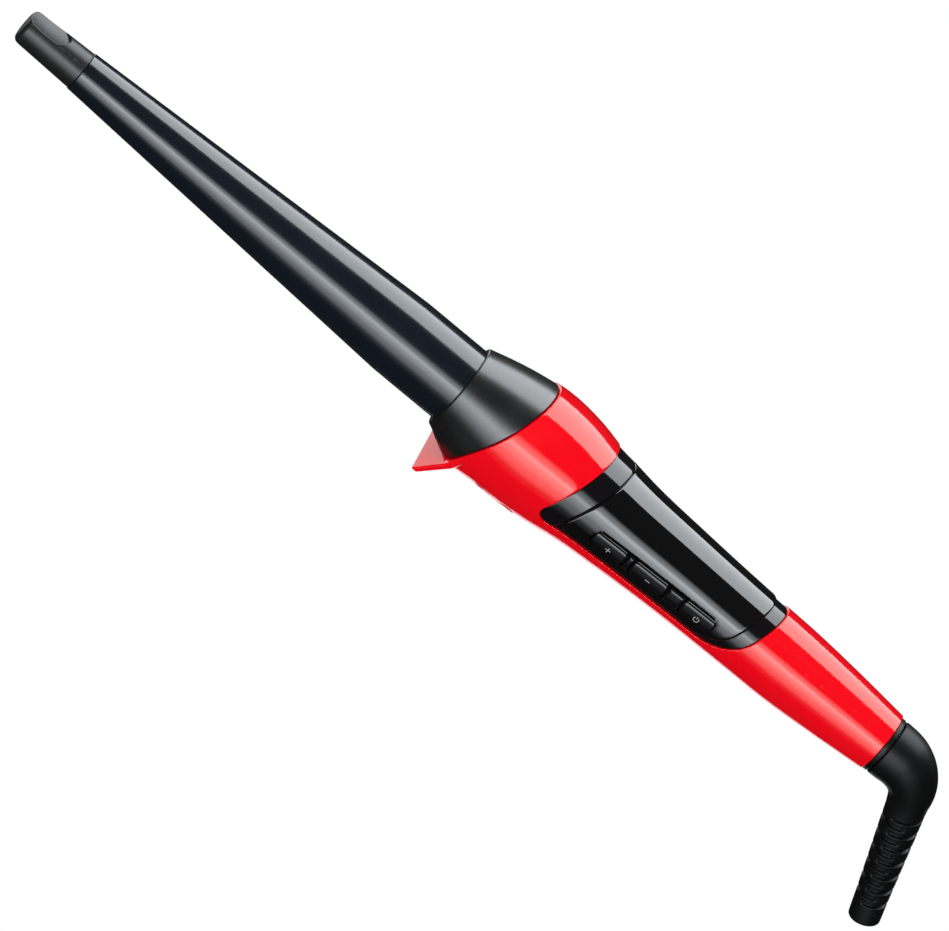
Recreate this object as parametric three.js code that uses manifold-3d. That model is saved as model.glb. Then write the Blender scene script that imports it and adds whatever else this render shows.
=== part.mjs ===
// A conical curling wand: heated aluminium barrel with a cool tip, satin collar, red handle shells
// with a moulded stand, gloss control panel with three side buttons, and a swivelling cord boot.
// Millimetres. The wand's axis lies along X with the tip at +X, the display faces +Z and the
// buttons face +Y. The origin is the centre of the stand's foot.
import * as THREE from 'three';
import { mergeVertices } from 'three/addons/utils/BufferGeometryUtils.js';
import Module from 'manifold-3d';

const wasm = await Module();
wasm.setup();

// ---------- Driving dimensions ----------

const GAP = 0.3; // clearance between two pieces that touch
const OVERCUT = 1; // how far a cutter runs past the faces it opens
const BIG = 60; // half size of a cutter that spans the whole section

const BARREL_TIP_DIAMETER = 13;
const BARREL_BASE_DIAMETER = 25;
const BARREL_LENGTH = 144.3; // the length that stands clear of the collar
const BARREL_BASE_LENGTH = 22.5; // its straight part in front of the collar
const BARREL_INSERT = 16.7; // its length hidden inside the collar
const BARREL_WALL = 1.3;
const BULKHEAD = 1.5; // the web that closes the barrel's front
const FLANGE_HEIGHT = 1.4;
const FLANGE_THICKNESS = 1.2;

const TIP_LENGTH = 19.8;
const TIP_REAR_DIAMETER = 12.5;
const TIP_FRONT_DIAMETER = 11.6;
const TIP_ROUNDING = 1.5;
const TIP_WALL = 1.6;
const TIP_FLAT_LENGTH = 15;
const TIP_FLAT_DEPTH = 0.8;
const INSULATOR_THICKNESS = 1;

const COLLAR_FRONT_X = 6.7;
const HANDLE_LENGTH = 162.7; // collar front to the rear end of the shells
const COLLAR_SINK = 0.4; // the collar lies this far below the red shells
const SHELL_WALL = 2.2;
const SEAM_SLOPE = 0.38; // every seam leans back by this much for each millimetre of height
const COLLAR_SEAM_X = -9.2; // where each seam crosses the wand's axis
const PANEL_FRONT_X = -35;
const PANEL_LENGTH = 70.7;
const PANEL_BOTTOM_Z = -7.5;
const PANEL_SINK = 0.5;
const PANEL_THICKNESS = 1.6;
const WINDOW_PROUD = 0.6; // above the panel around it
const WINDOW_THICKNESS = 1.1;
const WINDOW_FRONT_MARGIN = 8;
const WINDOW_REAR_MARGIN = 5;
const WINDOW_BOTTOM_MARGIN = 0.9;
const SEAT_WALL = 1.3; // shell wall that carries the panel

const STAND_DEPTH = 23.2; // axis to the stand's foot
const STAND_WIDTH = 30;
const STAND_ROOT_Z = -14.8;
const STAND_ROOT_THICKNESS = 3.9;
const FOOT_THICKNESS = 2;
const REST_SLOPE = 0.073; // the wand rests on its foot and on the grip's underside

const KEY_ROW_FRONT_X = PANEL_FRONT_X - 15.1;
const KEY_ROW_Z = -1;
const KEY_LENGTHS = { plus: 12, minus: 12.9, power: 12 };
const KEY_SPACERS = [2.4, 5.9];
const KEY_HEIGHT = 5;
const KEY_PROUD = 0.5;
const KEY_TRAVEL = 0.6;

const REAR_DROP = 2; // the handle's rear end and the swivel lie below the axis
const BOOT_REAR_RADIUS = 9.3;
const BOOT_STRAIGHT = 3.6;
const BOOT_BEND_RADIUS = 12.5;
const BOOT_BEND = THREE.MathUtils.degToRad(70);
const SLEEVE_LENGTH = 45;
const SLEEVE_TOP_RADIUS = 5.7;
const SLEEVE_END_RADIUS = 4.65;
const CORD_BORE_RADIUS = 3.45;

// The handle's outline: share of its length from the collar's front, how far its radius exceeds
// the barrel's at the base, and the drop of its centre as a share of REAR_DROP.
const HANDLE_OUTLINE = [
  [0, 1.6, 0],
  [0.041, 3.3, 0],
  [0.096, 5.2, 0],
  [0.168, 6.6, 0],
  [0.24, 5.7, 0],
  [0.312, 3.65, 0.25],
  [0.385, 2.4, 0.5],
  [0.511, 1.3, 0.65],
  [0.691, 0.4, 0.9],
  [0.782, 0, 0.975],
  [0.889, -1.3, 1],
  [1, -2.8, 1],
];

// ---------- Finishes ----------

function finish(color, roughness, metalness = 0) {
  return () => new THREE.MeshStandardMaterial({ color, roughness, metalness });
}

const FINISHES = {
  coatedAluminium: finish(0x14181f, 0.22, 0.6),
  satinCharcoal: finish(0x3a3d40, 0.5),
  glossRed: finish(0xe0041f, 0.18),
  glossBlack: finish(0x0d0b0d, 0.08),
  smokedClear: finish(0x141214, 0.05),
  bootRubber: finish(0x0f1012, 0.7),
  bareAluminium: finish(0xb4b7ba, 0.4, 0.9),
  insulator: finish(0xd9d2c0, 0.8),
  ceramic: finish(0xc9c3b4, 0.6),
  copper: finish(0xb8744a, 0.35, 1),
  brass: finish(0xc8a652, 0.3, 1),
  steel: finish(0x9a9da0, 0.35, 1),
  circuitBoard: finish(0x1d5b34, 0.5),
  component: finish(0x26282b, 0.6),
  displayGlass: finish(0x6f7a6c, 0.15),
  whitePlastic: finish(0xe6e6e0, 0.6),
  wireRed: finish(0xa4222a, 0.55),
  wireBlue: finish(0x27519c, 0.55),
  wireWhite: finish(0xdedad0, 0.55),
};

// ---------- Solids from three.js geometry ----------

// Turns a closed geometry into a solid, without the zero-area faces at a lathe's poles.
function solid(geometry) {
  const bare = geometry.clone();
  bare.deleteAttribute('normal');
  bare.deleteAttribute('uv');
  const merged = mergeVertices(bare, 1e-4);
  const faces = [];
  const index = merged.index.array;
  for (let i = 0; i < index.length; i += 3) {
    const [a, b, c] = [index[i], index[i + 1], index[i + 2]];
    if (a !== b && b !== c && c !== a) faces.push(a, b, c);
  }
  const mesh = new wasm.Mesh({
    numProp: 3,
    vertProperties: Float32Array.from(merged.attributes.position.array),
    triVerts: Uint32Array.from(faces),
  });
  return new wasm.Manifold(mesh);
}

function geometryOf(body) {
  const mesh = body.getMesh();
  const geometry = new THREE.BufferGeometry();
  geometry.setAttribute('position', new THREE.BufferAttribute(mesh.vertProperties, 3));
  geometry.setIndex(new THREE.BufferAttribute(mesh.triVerts, 1));
  geometry.computeVertexNormals();
  return geometry;
}

function box([x0, x1], [y0, y1], [z0, z1]) {
  const geometry = new THREE.BoxGeometry(x1 - x0, y1 - y0, z1 - z0);
  geometry.translate((x0 + x1) / 2, (y0 + y1) / 2, (z0 + z1) / 2);
  return solid(geometry);
}

function rodAlongX(radius, [x0, x1], y, z, sides = 14) {
  const geometry = new THREE.CylinderGeometry(radius, radius, x1 - x0, sides);
  geometry.rotateZ(-Math.PI / 2);
  geometry.translate((x0 + x1) / 2, y, z);
  return solid(geometry);
}

function rodAlongZ(radius, [z0, z1], x, y, sides = 12) {
  const geometry = new THREE.CylinderGeometry(radius, radius, z1 - z0, sides);
  geometry.rotateX(Math.PI / 2);
  geometry.translate(x, y, (z0 + z1) / 2);
  return solid(geometry);
}

// A body turned about a line parallel to X: the profile's points are [x, radius], front to rear.
function turned(profile, { z = 0, sides = 24 } = {}) {
  const points = profile.map(([x, radius]) => new THREE.Vector2(radius, x)).reverse();
  const geometry = new THREE.LatheGeometry(points, sides);
  geometry.rotateZ(-Math.PI / 2);
  geometry.translate(0, 0, z);
  return solid(geometry);
}

// An outline with rounded corners: each corner is [x, z, radius].
function roundedShape(corners) {
  const shape = new THREE.Shape();
  corners.forEach(([x, z, radius], i) => {
    const corner = new THREE.Vector2(x, z);
    const before = corners.at(i - 1);
    const after = corners[(i + 1) % corners.length];
    const into = new THREE.Vector2(before[0], before[1]).sub(corner).setLength(radius || 1e-3);
    const out = new THREE.Vector2(after[0], after[1]).sub(corner).setLength(radius || 1e-3);
    const start = radius ? corner.clone().add(into) : corner;
    if (i === 0) shape.moveTo(start.x, start.y);
    else shape.lineTo(start.x, start.y);
    if (radius) shape.quadraticCurveTo(x, z, x + out.x, z + out.y);
  });
  shape.closePath();
  return shape;
}

// An outline in the XZ plane, extruded along Y between two depths.
function slabAlongY(corners, [y0, y1], curveSegments = 6) {
  const options = { depth: y1 - y0, bevelEnabled: false, curveSegments };
  const geometry = new THREE.ExtrudeGeometry(roundedShape(corners), options);
  geometry.rotateX(Math.PI / 2);
  geometry.translate(0, y1, 0);
  return solid(geometry);
}

// An outline in the YZ plane, extruded along X.
function slabAlongX(corners, [x0, x1], curveSegments = 6) {
  const options = { depth: x1 - x0, bevelEnabled: false, curveSegments };
  const geometry = new THREE.ExtrudeGeometry(roundedShape(corners), options);
  geometry.rotateX(Math.PI / 2);
  geometry.rotateZ(Math.PI / 2);
  geometry.translate(x0, 0, 0);
  return solid(geometry);
}

// A wire through a list of points.
function wire(points, radius, steps, sides = 6) {
  const section = new THREE.Shape();
  for (let i = 0; i < sides; i += 1) {
    const angle = (2 * Math.PI * i) / sides;
    const [x, y] = [radius * Math.cos(angle), radius * Math.sin(angle)];
    if (i === 0) section.moveTo(x, y);
    else section.lineTo(x, y);
  }
  section.closePath();
  const route = new THREE.CatmullRomCurve3(points.map((point) => new THREE.Vector3(...point)));
  return solid(new THREE.ExtrudeGeometry(section, { steps, extrudePath: route, bevelEnabled: false }));
}

// ---------- Places worked out from the driving dimensions ----------

const BARREL_FRONT_X = COLLAR_FRONT_X + BARREL_LENGTH;
const BARREL_REAR_X = COLLAR_FRONT_X - BARREL_INSERT;
const BARREL_TIP_RADIUS = BARREL_TIP_DIAMETER / 2;
const BARREL_BASE_RADIUS = BARREL_BASE_DIAMETER / 2;
const CONE_REAR_X = COLLAR_FRONT_X + BARREL_BASE_LENGTH;
const TIP_REAR_X = BARREL_FRONT_X + INSULATOR_THICKNESS + 2 * GAP;
const TIP_END_X = TIP_REAR_X + TIP_LENGTH;
const HANDLE_REAR_X = COLLAR_FRONT_X - HANDLE_LENGTH;
const PANEL_REAR_X = PANEL_FRONT_X - PANEL_LENGTH;
const PANEL_INSET = PANEL_SINK + PANEL_THICKNESS;
const SEAT_INSET = PANEL_INSET + GAP;
const CAVITY_INSET = SEAT_INSET + SEAT_WALL;

// The barrel's outer radius at x.
function coneRadius(x) {
  const share = THREE.MathUtils.clamp((BARREL_FRONT_X - x) / (BARREL_FRONT_X - CONE_REAR_X), 0, 1);
  return THREE.MathUtils.lerp(BARREL_TIP_RADIUS, BARREL_BASE_RADIUS, share);
}

const handleCurve = new THREE.CatmullRomCurve3(
  HANDLE_OUTLINE.map(([share, excess, drop]) => (
    new THREE.Vector3(
      COLLAR_FRONT_X - share * HANDLE_LENGTH,
      BARREL_BASE_RADIUS + excess,
      drop * REAR_DROP,
    )
  )),
);
const HANDLE_RINGS = handleCurve.getSpacedPoints(17);

// The handle's radius and the drop of its centre at x.
function handleAt(x) {
  const rear = HANDLE_RINGS.findIndex((ring) => ring.x <= x);
  if (rear === 0) return { radius: HANDLE_RINGS[0].y, drop: HANDLE_RINGS[0].z };
  if (rear < 0) return { radius: HANDLE_RINGS.at(-1).y, drop: HANDLE_RINGS.at(-1).z };
  const [a, b] = [HANDLE_RINGS[rear - 1], HANDLE_RINGS[rear]];
  const share = (a.x - x) / (a.x - b.x);
  return {
    radius: THREE.MathUtils.lerp(a.y, b.y, share),
    drop: THREE.MathUtils.lerp(a.z, b.z, share),
  };
}

// The handle's solid form between two stations, drawn in by an inset.
function handleBody(frontX, rearX, inset, sides = 32) {
  const between = HANDLE_RINGS.map((ring) => ring.x).filter((x) => x < frontX - 1 && x > rearX + 1);
  const stations = [frontX, ...between, rearX];
  const profile = stations.map((x) => new THREE.Vector2(handleAt(x).radius - inset, x));
  profile.unshift(new THREE.Vector2(0, frontX));
  profile.push(new THREE.Vector2(0, rearX));
  const geometry = new THREE.LatheGeometry(profile.reverse(), sides);
  geometry.rotateZ(-Math.PI / 2);
  const position = geometry.attributes.position;
  for (let i = 0; i < position.count; i += 1) {
    position.setZ(i, position.getZ(i) - handleAt(position.getX(i)).drop);
  }
  return solid(geometry);
}

// A slanted seam: x on the seam at height z, for a seam that crosses the axis at seamX.
function seamAt(seamX, z) {
  return seamX - SEAM_SLOPE * z;
}

// Everything behind a slanted seam, or in front of it.
function seamSide(seamX, side) {
  const far = seamX + side * 5 * BIG;
  return slabAlongY([
    [seamAt(seamX, -BIG), -BIG, 0],
    [seamAt(seamX, BIG), BIG, 0],
    [far, BIG, 0],
    [far, -BIG, 0],
  ], [-BIG, BIG]);
}

// The saddle-shaped region of the panel or window: between two seams and above a bottom line.
function saddleRegion(frontX, rearX, bottomZ, frontRadius, rearRadius) {
  return slabAlongY([
    [seamAt(frontX, bottomZ), bottomZ, frontRadius],
    [seamAt(frontX, BIG), BIG, 0],
    [seamAt(rearX, BIG), BIG, 0],
    [seamAt(rearX, bottomZ), bottomZ, rearRadius],
  ], [-BIG, BIG], 5);
}

// ---------- Key row ----------
// The row lies along the handle's +Y side. Its own frame has x along the row towards the tip,
// y out of the handle and z up, with the origin on the handle's surface at the row's middle.

const KEY_ROW_LENGTH = Object.values(KEY_LENGTHS).reduce((sum, length) => sum + length, 0)
  + KEY_SPACERS[0] + KEY_SPACERS[1];
const KEY_ROW_REAR_X = KEY_ROW_FRONT_X - KEY_ROW_LENGTH;
const keyFrontY = handleAt(KEY_ROW_FRONT_X).radius;
const keyRearY = handleAt(KEY_ROW_REAR_X).radius;
const KEY_ANGLE = Math.atan2(keyFrontY - keyRearY, KEY_ROW_LENGTH);
const keyFrame = new THREE.Matrix4()
  .makeTranslation((KEY_ROW_FRONT_X + KEY_ROW_REAR_X) / 2, (keyFrontY + keyRearY) / 2, KEY_ROW_Z)
  .multiply(new THREE.Matrix4().makeRotationZ(KEY_ANGLE));

// Each key's centre and length along the row.
const KEYS = (() => {
  const [first, second] = KEY_SPACERS;
  const { plus, minus, power } = KEY_LENGTHS;
  const front = KEY_ROW_LENGTH / 2;
  return [
    { name: 'plus', centre: front - plus / 2, length: plus },
    { name: 'minus', centre: front - plus - first - minus / 2, length: minus },
    { name: 'power', centre: front - plus - first - minus - second - power / 2, length: power },
  ];
})();

const KEY_BEZEL = { top: -2.3, bottom: -4, rim: 1.6, ridgeTop: 0.1 };
const KEY_FLANGE = { top: KEY_BEZEL.bottom - GAP, thickness: 0.8, rim: 0.7 };
const KEY_STEM_TOP = KEY_FLANGE.top - KEY_FLANGE.thickness - GAP;
const KEY_SWITCH = { size: 4.4, top: KEY_STEM_TOP - 0.9, depth: 1.6, stemRadius: 0.9, floor: 0.2 };
const KEY_BOARD = { thickness: 1, height: 5.6, overhang: 2.4 };
const KEY_BOARD_TOP = KEY_SWITCH.top - KEY_SWITCH.depth - GAP;

// A round-cornered block in the key row's frame, between two heights above the surface.
function keyBlock(centre, length, height, radius, [y0, y1]) {
  const [x0, x1] = [centre - length / 2, centre + length / 2];
  const outline = [
    [x0, -height / 2, radius],
    [x1, -height / 2, radius],
    [x1, height / 2, radius],
    [x0, height / 2, radius],
  ];
  const options = { depth: y1 - y0, bevelEnabled: false, curveSegments: 3 };
  const geometry = new THREE.ExtrudeGeometry(roundedShape(outline), options);
  geometry.rotateX(Math.PI / 2);
  geometry.translate(0, y1, 0);
  geometry.applyMatrix4(keyFrame);
  return solid(geometry);
}

function keyRod(centre, radius, [y0, y1], sides = 12) {
  const geometry = new THREE.CylinderGeometry(radius, radius, y1 - y0, sides);
  geometry.translate(centre, (y0 + y1) / 2, 0);
  geometry.applyMatrix4(keyFrame);
  return solid(geometry);
}

function windowKeySlot() {
  return keyBlock(0, KEY_ROW_LENGTH + 2 * GAP, KEY_HEIGHT + 2 * GAP, 2.2, [-6, 6]);
}

function bezelSlot() {
  const rim = 2 * (KEY_BEZEL.rim + GAP);
  return keyBlock(0, KEY_ROW_LENGTH + rim, KEY_HEIGHT + rim, 2.6, [-6, 6]);
}

function keyBezel() {
  const rim = 2 * KEY_BEZEL.rim;
  const span = [KEY_BEZEL.bottom, KEY_BEZEL.top];
  let bezel = keyBlock(0, KEY_ROW_LENGTH + rim, KEY_HEIGHT + rim, 2.4, span);
  for (const key of KEYS) {
    const opening = [key.length + 2 * GAP, KEY_HEIGHT + 2 * GAP];
    bezel = bezel.subtract(keyBlock(key.centre, ...opening, 1, [-6, 6]));
  }
  const ridges = [0, 1].map((i) => {
    const front = KEYS[i].centre - KEYS[i].length / 2;
    return keyBlock(
      front - KEY_SPACERS[i] / 2,
      KEY_SPACERS[i] - 2 * GAP,
      KEY_HEIGHT,
      0.3,
      [KEY_BEZEL.bottom, KEY_BEZEL.ridgeTop],
    );
  });
  return bezel.add(ridges[0]).add(ridges[1]);
}

function keyCap(key) {
  const flangeBottom = KEY_FLANGE.top - KEY_FLANGE.thickness;
  const cap = keyBlock(key.centre, key.length, KEY_HEIGHT, 1.2, [flangeBottom, KEY_PROUD]);
  const rim = 2 * KEY_FLANGE.rim;
  const flangeLength = key.length + rim;
  const flange = keyBlock(
    key.centre,
    flangeLength,
    KEY_HEIGHT + rim,
    1,
    [flangeBottom, KEY_FLANGE.top],
  );
  return cap.add(flange);
}

function keySwitchStem(key) {
  const bottom = KEY_SWITCH.top - KEY_TRAVEL;
  return keyRod(key.centre, KEY_SWITCH.stemRadius, [bottom, KEY_STEM_TOP]);
}

function keySwitch(key) {
  const { size, top, depth, stemRadius, floor } = KEY_SWITCH;
  const body = keyBlock(key.centre, size, size, 0.4, [top - depth, top]);
  const hole = keyRod(key.centre, stemRadius + GAP, [top - depth + floor, top + OVERCUT]);
  return body.subtract(hole);
}

function keyBoard() {
  const length = KEY_ROW_LENGTH + 2 * KEY_BOARD.overhang;
  const span = [KEY_BOARD_TOP - KEY_BOARD.thickness, KEY_BOARD_TOP];
  return keyBlock(0, length, KEY_BOARD.height, 0.5, span);
}

// ---------- Tip and barrel ----------

const TIP_SCREW = { radius: 1.25, headRadius: 2.4, headHeight: 1.6, length: 13 };

function coolTip() {
  const rear = TIP_REAR_DIAMETER / 2;
  const front = TIP_FRONT_DIAMETER / 2;
  const rounding = [0, 0.25, 0.5, 0.75, 1].map((share) => {
    const angle = (share * Math.PI) / 2;
    return [
      TIP_END_X - TIP_ROUNDING * (1 - Math.cos(angle)),
      front - TIP_ROUNDING * (1 - Math.sin(angle)),
    ];
  });
  const outer = turned([[TIP_END_X, 0], ...rounding, [TIP_REAR_X, rear], [TIP_REAR_X, 0]]);
  const roofX = TIP_END_X - TIP_WALL - TIP_ROUNDING;
  const hollow = turned([
    [roofX, 0],
    [roofX, front - TIP_WALL],
    [TIP_REAR_X - OVERCUT, rear - TIP_WALL],
    [TIP_REAR_X - OVERCUT, 0],
  ]);
  const boss = rodAlongX(TIP_SCREW.radius + 1.6, [TIP_REAR_X, roofX + OVERCUT], 0, 0);
  const pilotEnd = BARREL_FRONT_X - BULKHEAD + TIP_SCREW.length + GAP;
  const pilot = rodAlongX(TIP_SCREW.radius + GAP, [TIP_REAR_X - OVERCUT, pilotEnd], 0, 0);
  const flatZ = front - TIP_FLAT_DEPTH;
  const flat = box([TIP_END_X - TIP_FLAT_LENGTH, TIP_END_X + OVERCUT], [-BIG, BIG], [flatZ, BIG]);
  return outer.subtract(hollow).add(boss).subtract(pilot).subtract(flat);
}

function tipInsulator() {
  const rearX = BARREL_FRONT_X + GAP;
  const frontX = rearX + INSULATOR_THICKNESS;
  const disc = rodAlongX(TIP_REAR_DIAMETER / 2 - GAP, [rearX, frontX], 0, 0, 24);
  const hole = rodAlongX(TIP_SCREW.radius + GAP, [rearX - OVERCUT, frontX + OVERCUT], 0, 0);
  return disc.subtract(hole);
}

function tipScrew() {
  const seatX = BARREL_FRONT_X - BULKHEAD - GAP;
  const shank = rodAlongX(TIP_SCREW.radius, [seatX - 0.5, seatX + TIP_SCREW.length], 0, 0, 12);
  const head = rodAlongX(TIP_SCREW.headRadius, [seatX - TIP_SCREW.headHeight, seatX], 0, 0, 16);
  return shank.add(head);
}

function barrel() {
  const flangeX = BARREL_REAR_X + FLANGE_THICKNESS;
  const flangeRadius = BARREL_BASE_RADIUS + FLANGE_HEIGHT;
  const outer = turned([
    [BARREL_FRONT_X, 0],
    [BARREL_FRONT_X, BARREL_TIP_RADIUS - 0.3],
    [BARREL_FRONT_X - 0.3, BARREL_TIP_RADIUS],
    [CONE_REAR_X, BARREL_BASE_RADIUS],
    [flangeX, BARREL_BASE_RADIUS],
    [flangeX, flangeRadius],
    [BARREL_REAR_X, flangeRadius],
    [BARREL_REAR_X, 0],
  ], { sides: 36 });
  const webX = BARREL_FRONT_X - BULKHEAD;
  const bore = turned([
    [webX, 0],
    [webX, coneRadius(webX) - BARREL_WALL],
    [CONE_REAR_X, BARREL_BASE_RADIUS - BARREL_WALL],
    [BARREL_REAR_X - OVERCUT, BARREL_BASE_RADIUS - BARREL_WALL],
    [BARREL_REAR_X - OVERCUT, 0],
  ], { sides: 36 });
  const hole = rodAlongX(TIP_SCREW.radius + GAP, [webX - OVERCUT, BARREL_FRONT_X + OVERCUT], 0, 0);
  return outer.subtract(bore).subtract(hole);
}

// ---------- Heater ----------

const HEATER = { frontX: BARREL_FRONT_X - 23, length: 86, channelWidth: 5.2, web: 1.8 };
const CHIP = { count: 3, length: 24, pitch: 27, width: 8, thickness: 2.1 };
const ELECTRODE = { thickness: 0.5, tail: 6, overhang: 1 };
const HEATER_REAR_X = HEATER.frontX - HEATER.length;
const ELECTRODE_Z = CHIP.thickness / 2 + GAP;
const BLOCK_Z = ELECTRODE_Z + ELECTRODE.thickness + GAP;
const CHANNEL_Z = BLOCK_Z + HEATER.web;

// side is 1 for the upper block and -1 for the lower one.
function heaterBlock(side) {
  const fit = BARREL_WALL + GAP;
  const cone = turned([
    [HEATER.frontX, 0],
    [HEATER.frontX, coneRadius(HEATER.frontX) - fit],
    [HEATER_REAR_X, coneRadius(HEATER_REAR_X) - fit],
    [HEATER_REAR_X, 0],
  ]);
  const outer = side > 0 ? [BLOCK_Z, BIG] : [-BIG, -BLOCK_Z];
  const groove = side > 0 ? [CHANNEL_Z, BIG] : [-BIG, -CHANNEL_Z];
  const reach = [HEATER_REAR_X - OVERCUT, HEATER.frontX + OVERCUT];
  const channel = box(reach, [-HEATER.channelWidth / 2, HEATER.channelWidth / 2], groove);
  return cone.intersect(box(reach, [-BIG, BIG], outer)).subtract(channel);
}

function heaterChip(i) {
  const middle = HEATER.frontX - HEATER.length / 2 + CHIP.pitch * (1 - i);
  return box(
    [middle - CHIP.length / 2, middle + CHIP.length / 2],
    [-CHIP.width / 2, CHIP.width / 2],
    [-CHIP.thickness / 2, CHIP.thickness / 2],
  );
}

function electrode(side) {
  const near = side * ELECTRODE_Z;
  const far = side * (ELECTRODE_Z + ELECTRODE.thickness);
  return box(
    [HEATER_REAR_X - ELECTRODE.tail, HEATER.frontX + ELECTRODE.overhang],
    [-CHIP.width / 2, CHIP.width / 2],
    [Math.min(near, far), Math.max(near, far)],
  );
}

const THERMISTOR = { radius: 1.1, length: 5, x: HEATER.frontX - 43 };
const THERMAL_FUSE = { radius: 1.9, length: 10, x: HEATER.frontX - 53 };
const THERMISTOR_Z = CHANNEL_Z + GAP + THERMISTOR.radius;
const THERMAL_FUSE_Z = -CHANNEL_Z - GAP - THERMAL_FUSE.radius;

function sensorRod({ radius, length, x }, z) {
  return rodAlongX(radius, [x - length / 2, x + length / 2], 0, z, 12);
}

// ---------- Barrel mounting in the handle ----------

const SEAT = { frontX: -2.5, ringThickness: 2, ribThickness: 1.5, openRadius: 11 };
const SEAT_REAR_X = BARREL_REAR_X - GAP;
const RING_FRONT_X = SEAT_REAR_X - GAP;
const RING_REAR_X = RING_FRONT_X - SEAT.ringThickness;
const RIB_FRONT_X = RING_REAR_X - GAP;
const RIB_REAR_X = RIB_FRONT_X - SEAT.ribThickness;

function barrelSeat() {
  const outer = handleBody(SEAT.frontX, SEAT_REAR_X, SHELL_WALL + GAP);
  const bore = rodAlongX(BARREL_BASE_RADIUS + GAP, [-BIG, BIG], 0, 0, 36);
  const recessFront = BARREL_REAR_X + FLANGE_THICKNESS + GAP;
  const recessRadius = BARREL_BASE_RADIUS + FLANGE_HEIGHT + GAP;
  const recess = rodAlongX(recessRadius, [SEAT_REAR_X - OVERCUT, recessFront], 0, 0, 36);
  return outer.subtract(bore).subtract(recess);
}

function retainingRing() {
  const outer = handleBody(RING_FRONT_X, RING_REAR_X, SHELL_WALL + GAP);
  return outer.subtract(rodAlongX(SEAT.openRadius, [-BIG, BIG], 0, 0, 24));
}

// ---------- Collar ----------

const COLLAR_LIP = 2.4;

function collar() {
  const body = handleBody(COLLAR_FRONT_X, -25, COLLAR_SINK).intersect(seamSide(COLLAR_SEAM_X, 1));
  const hollow = handleBody(COLLAR_FRONT_X - COLLAR_LIP, -30, SHELL_WALL);
  const mouth = rodAlongX(BARREL_BASE_RADIUS + GAP, [-BIG, BIG], 0, 0, 36);
  return body.subtract(hollow).subtract(mouth);
}

// ---------- Handle shells ----------

const HOUSING_SCREW = {
  shankRadius: 1.2, headRadius: 2.2, headHeight: 1.7, seatZ: -8.5, tipZ: 5, bossRadius: 3.2,
};
const HOUSING_SCREW_PLACES = [
  [PANEL_FRONT_X + 9, 11],
  [PANEL_FRONT_X + 9, -11],
  [PANEL_REAR_X - 10, 0],
];
const SPLIT_GAP = GAP / 2;

const BOARD_SCREW = { shankRadius: 0.9, headRadius: 1.7, headHeight: 1.1, length: 6 };
const POWER_BOARD = {
  frontX: PANEL_FRONT_X + 3, rearX: PANEL_REAR_X + 5.7, width: 15, thickness: 1.6, topZ: -4.8,
};
const POWER_BOARD_BOTTOM_Z = POWER_BOARD.topZ - POWER_BOARD.thickness;
const BOARD_SCREW_XS = [POWER_BOARD.frontX - 8, POWER_BOARD.rearX + 7];
const BOARD_POST_RADIUS = 2.6;

const DISPLAY = { frontX: PANEL_FRONT_X - 18, length: 28, width: 10, glass: 1.5, light: 1.6 };
const CONTROL_BOARD = { margin: 3, width: 11.6, thickness: 1.2 };
const DISPLAY_REAR_X = DISPLAY.frontX - DISPLAY.length;
const DISPLAY_HALF = DISPLAY.width / 2;
const PANEL_BORE_RADIUS = handleAt(DISPLAY_REAR_X).radius - PANEL_INSET;
const GLASS_TOP_Z = Math.sqrt(PANEL_BORE_RADIUS ** 2 - DISPLAY_HALF ** 2)
  - handleAt(DISPLAY_REAR_X).drop - GAP; // its rear corners just clear the panel
const GLASS_BOTTOM_Z = GLASS_TOP_Z - DISPLAY.glass;
const LIGHT_BOTTOM_Z = GLASS_BOTTOM_Z - GAP - DISPLAY.light;
const CONTROL_BOARD_TOP_Z = LIGHT_BOTTOM_Z - GAP;
const CONTROL_BOARD_BOTTOM_Z = CONTROL_BOARD_TOP_Z - CONTROL_BOARD.thickness;

const SWIVEL = {
  wall: 2.2, flangeRadius: 7.2, flangeThickness: 1.8, ribThickness: 1.5,
  neckRadius: 5.2, drumRadius: 3.9, boreRadius: 2.4, drumLength: 20, neckInsert: 8.6,
};
const SWIVEL_Z = -REAR_DROP;
const REAR_WALL_FRONT_X = HANDLE_REAR_X + SWIVEL.wall;
const SPOOL_FLANGE_REAR_X = REAR_WALL_FRONT_X + GAP;
const SPOOL_FLANGE_FRONT_X = SPOOL_FLANGE_REAR_X + SWIVEL.flangeThickness;
const SWIVEL_RIB_REAR_X = SPOOL_FLANGE_FRONT_X + GAP;
const SWIVEL_RIB_FRONT_X = SWIVEL_RIB_REAR_X + SWIVEL.ribThickness;

const panelRegion = saddleRegion(PANEL_FRONT_X, PANEL_REAR_X, PANEL_BOTTOM_Z, 2.5, 10);
const panelPocket = saddleRegion(
  PANEL_FRONT_X + GAP,
  PANEL_REAR_X - GAP,
  PANEL_BOTTOM_Z - GAP,
  2.5 + GAP,
  10 + GAP,
);
const windowRegion = saddleRegion(
  PANEL_FRONT_X - WINDOW_FRONT_MARGIN,
  PANEL_REAR_X + WINDOW_REAR_MARGIN,
  PANEL_BOTTOM_Z + WINDOW_BOTTOM_MARGIN,
  3,
  8,
);
const windowPocket = saddleRegion(
  PANEL_FRONT_X - WINDOW_FRONT_MARGIN + GAP,
  PANEL_REAR_X + WINDOW_REAR_MARGIN - GAP,
  PANEL_BOTTOM_Z + WINDOW_BOTTOM_MARGIN - GAP,
  3 + GAP,
  8 + GAP,
);

// A skin of the handle between two insets, over the control section.
function skin(outerInset, innerInset) {
  const [front, rear] = [PANEL_FRONT_X + 12, PANEL_REAR_X - 12];
  const inner = handleBody(front + OVERCUT, rear - OVERCUT, innerInset);
  return handleBody(front, rear, outerInset).subtract(inner);
}

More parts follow.
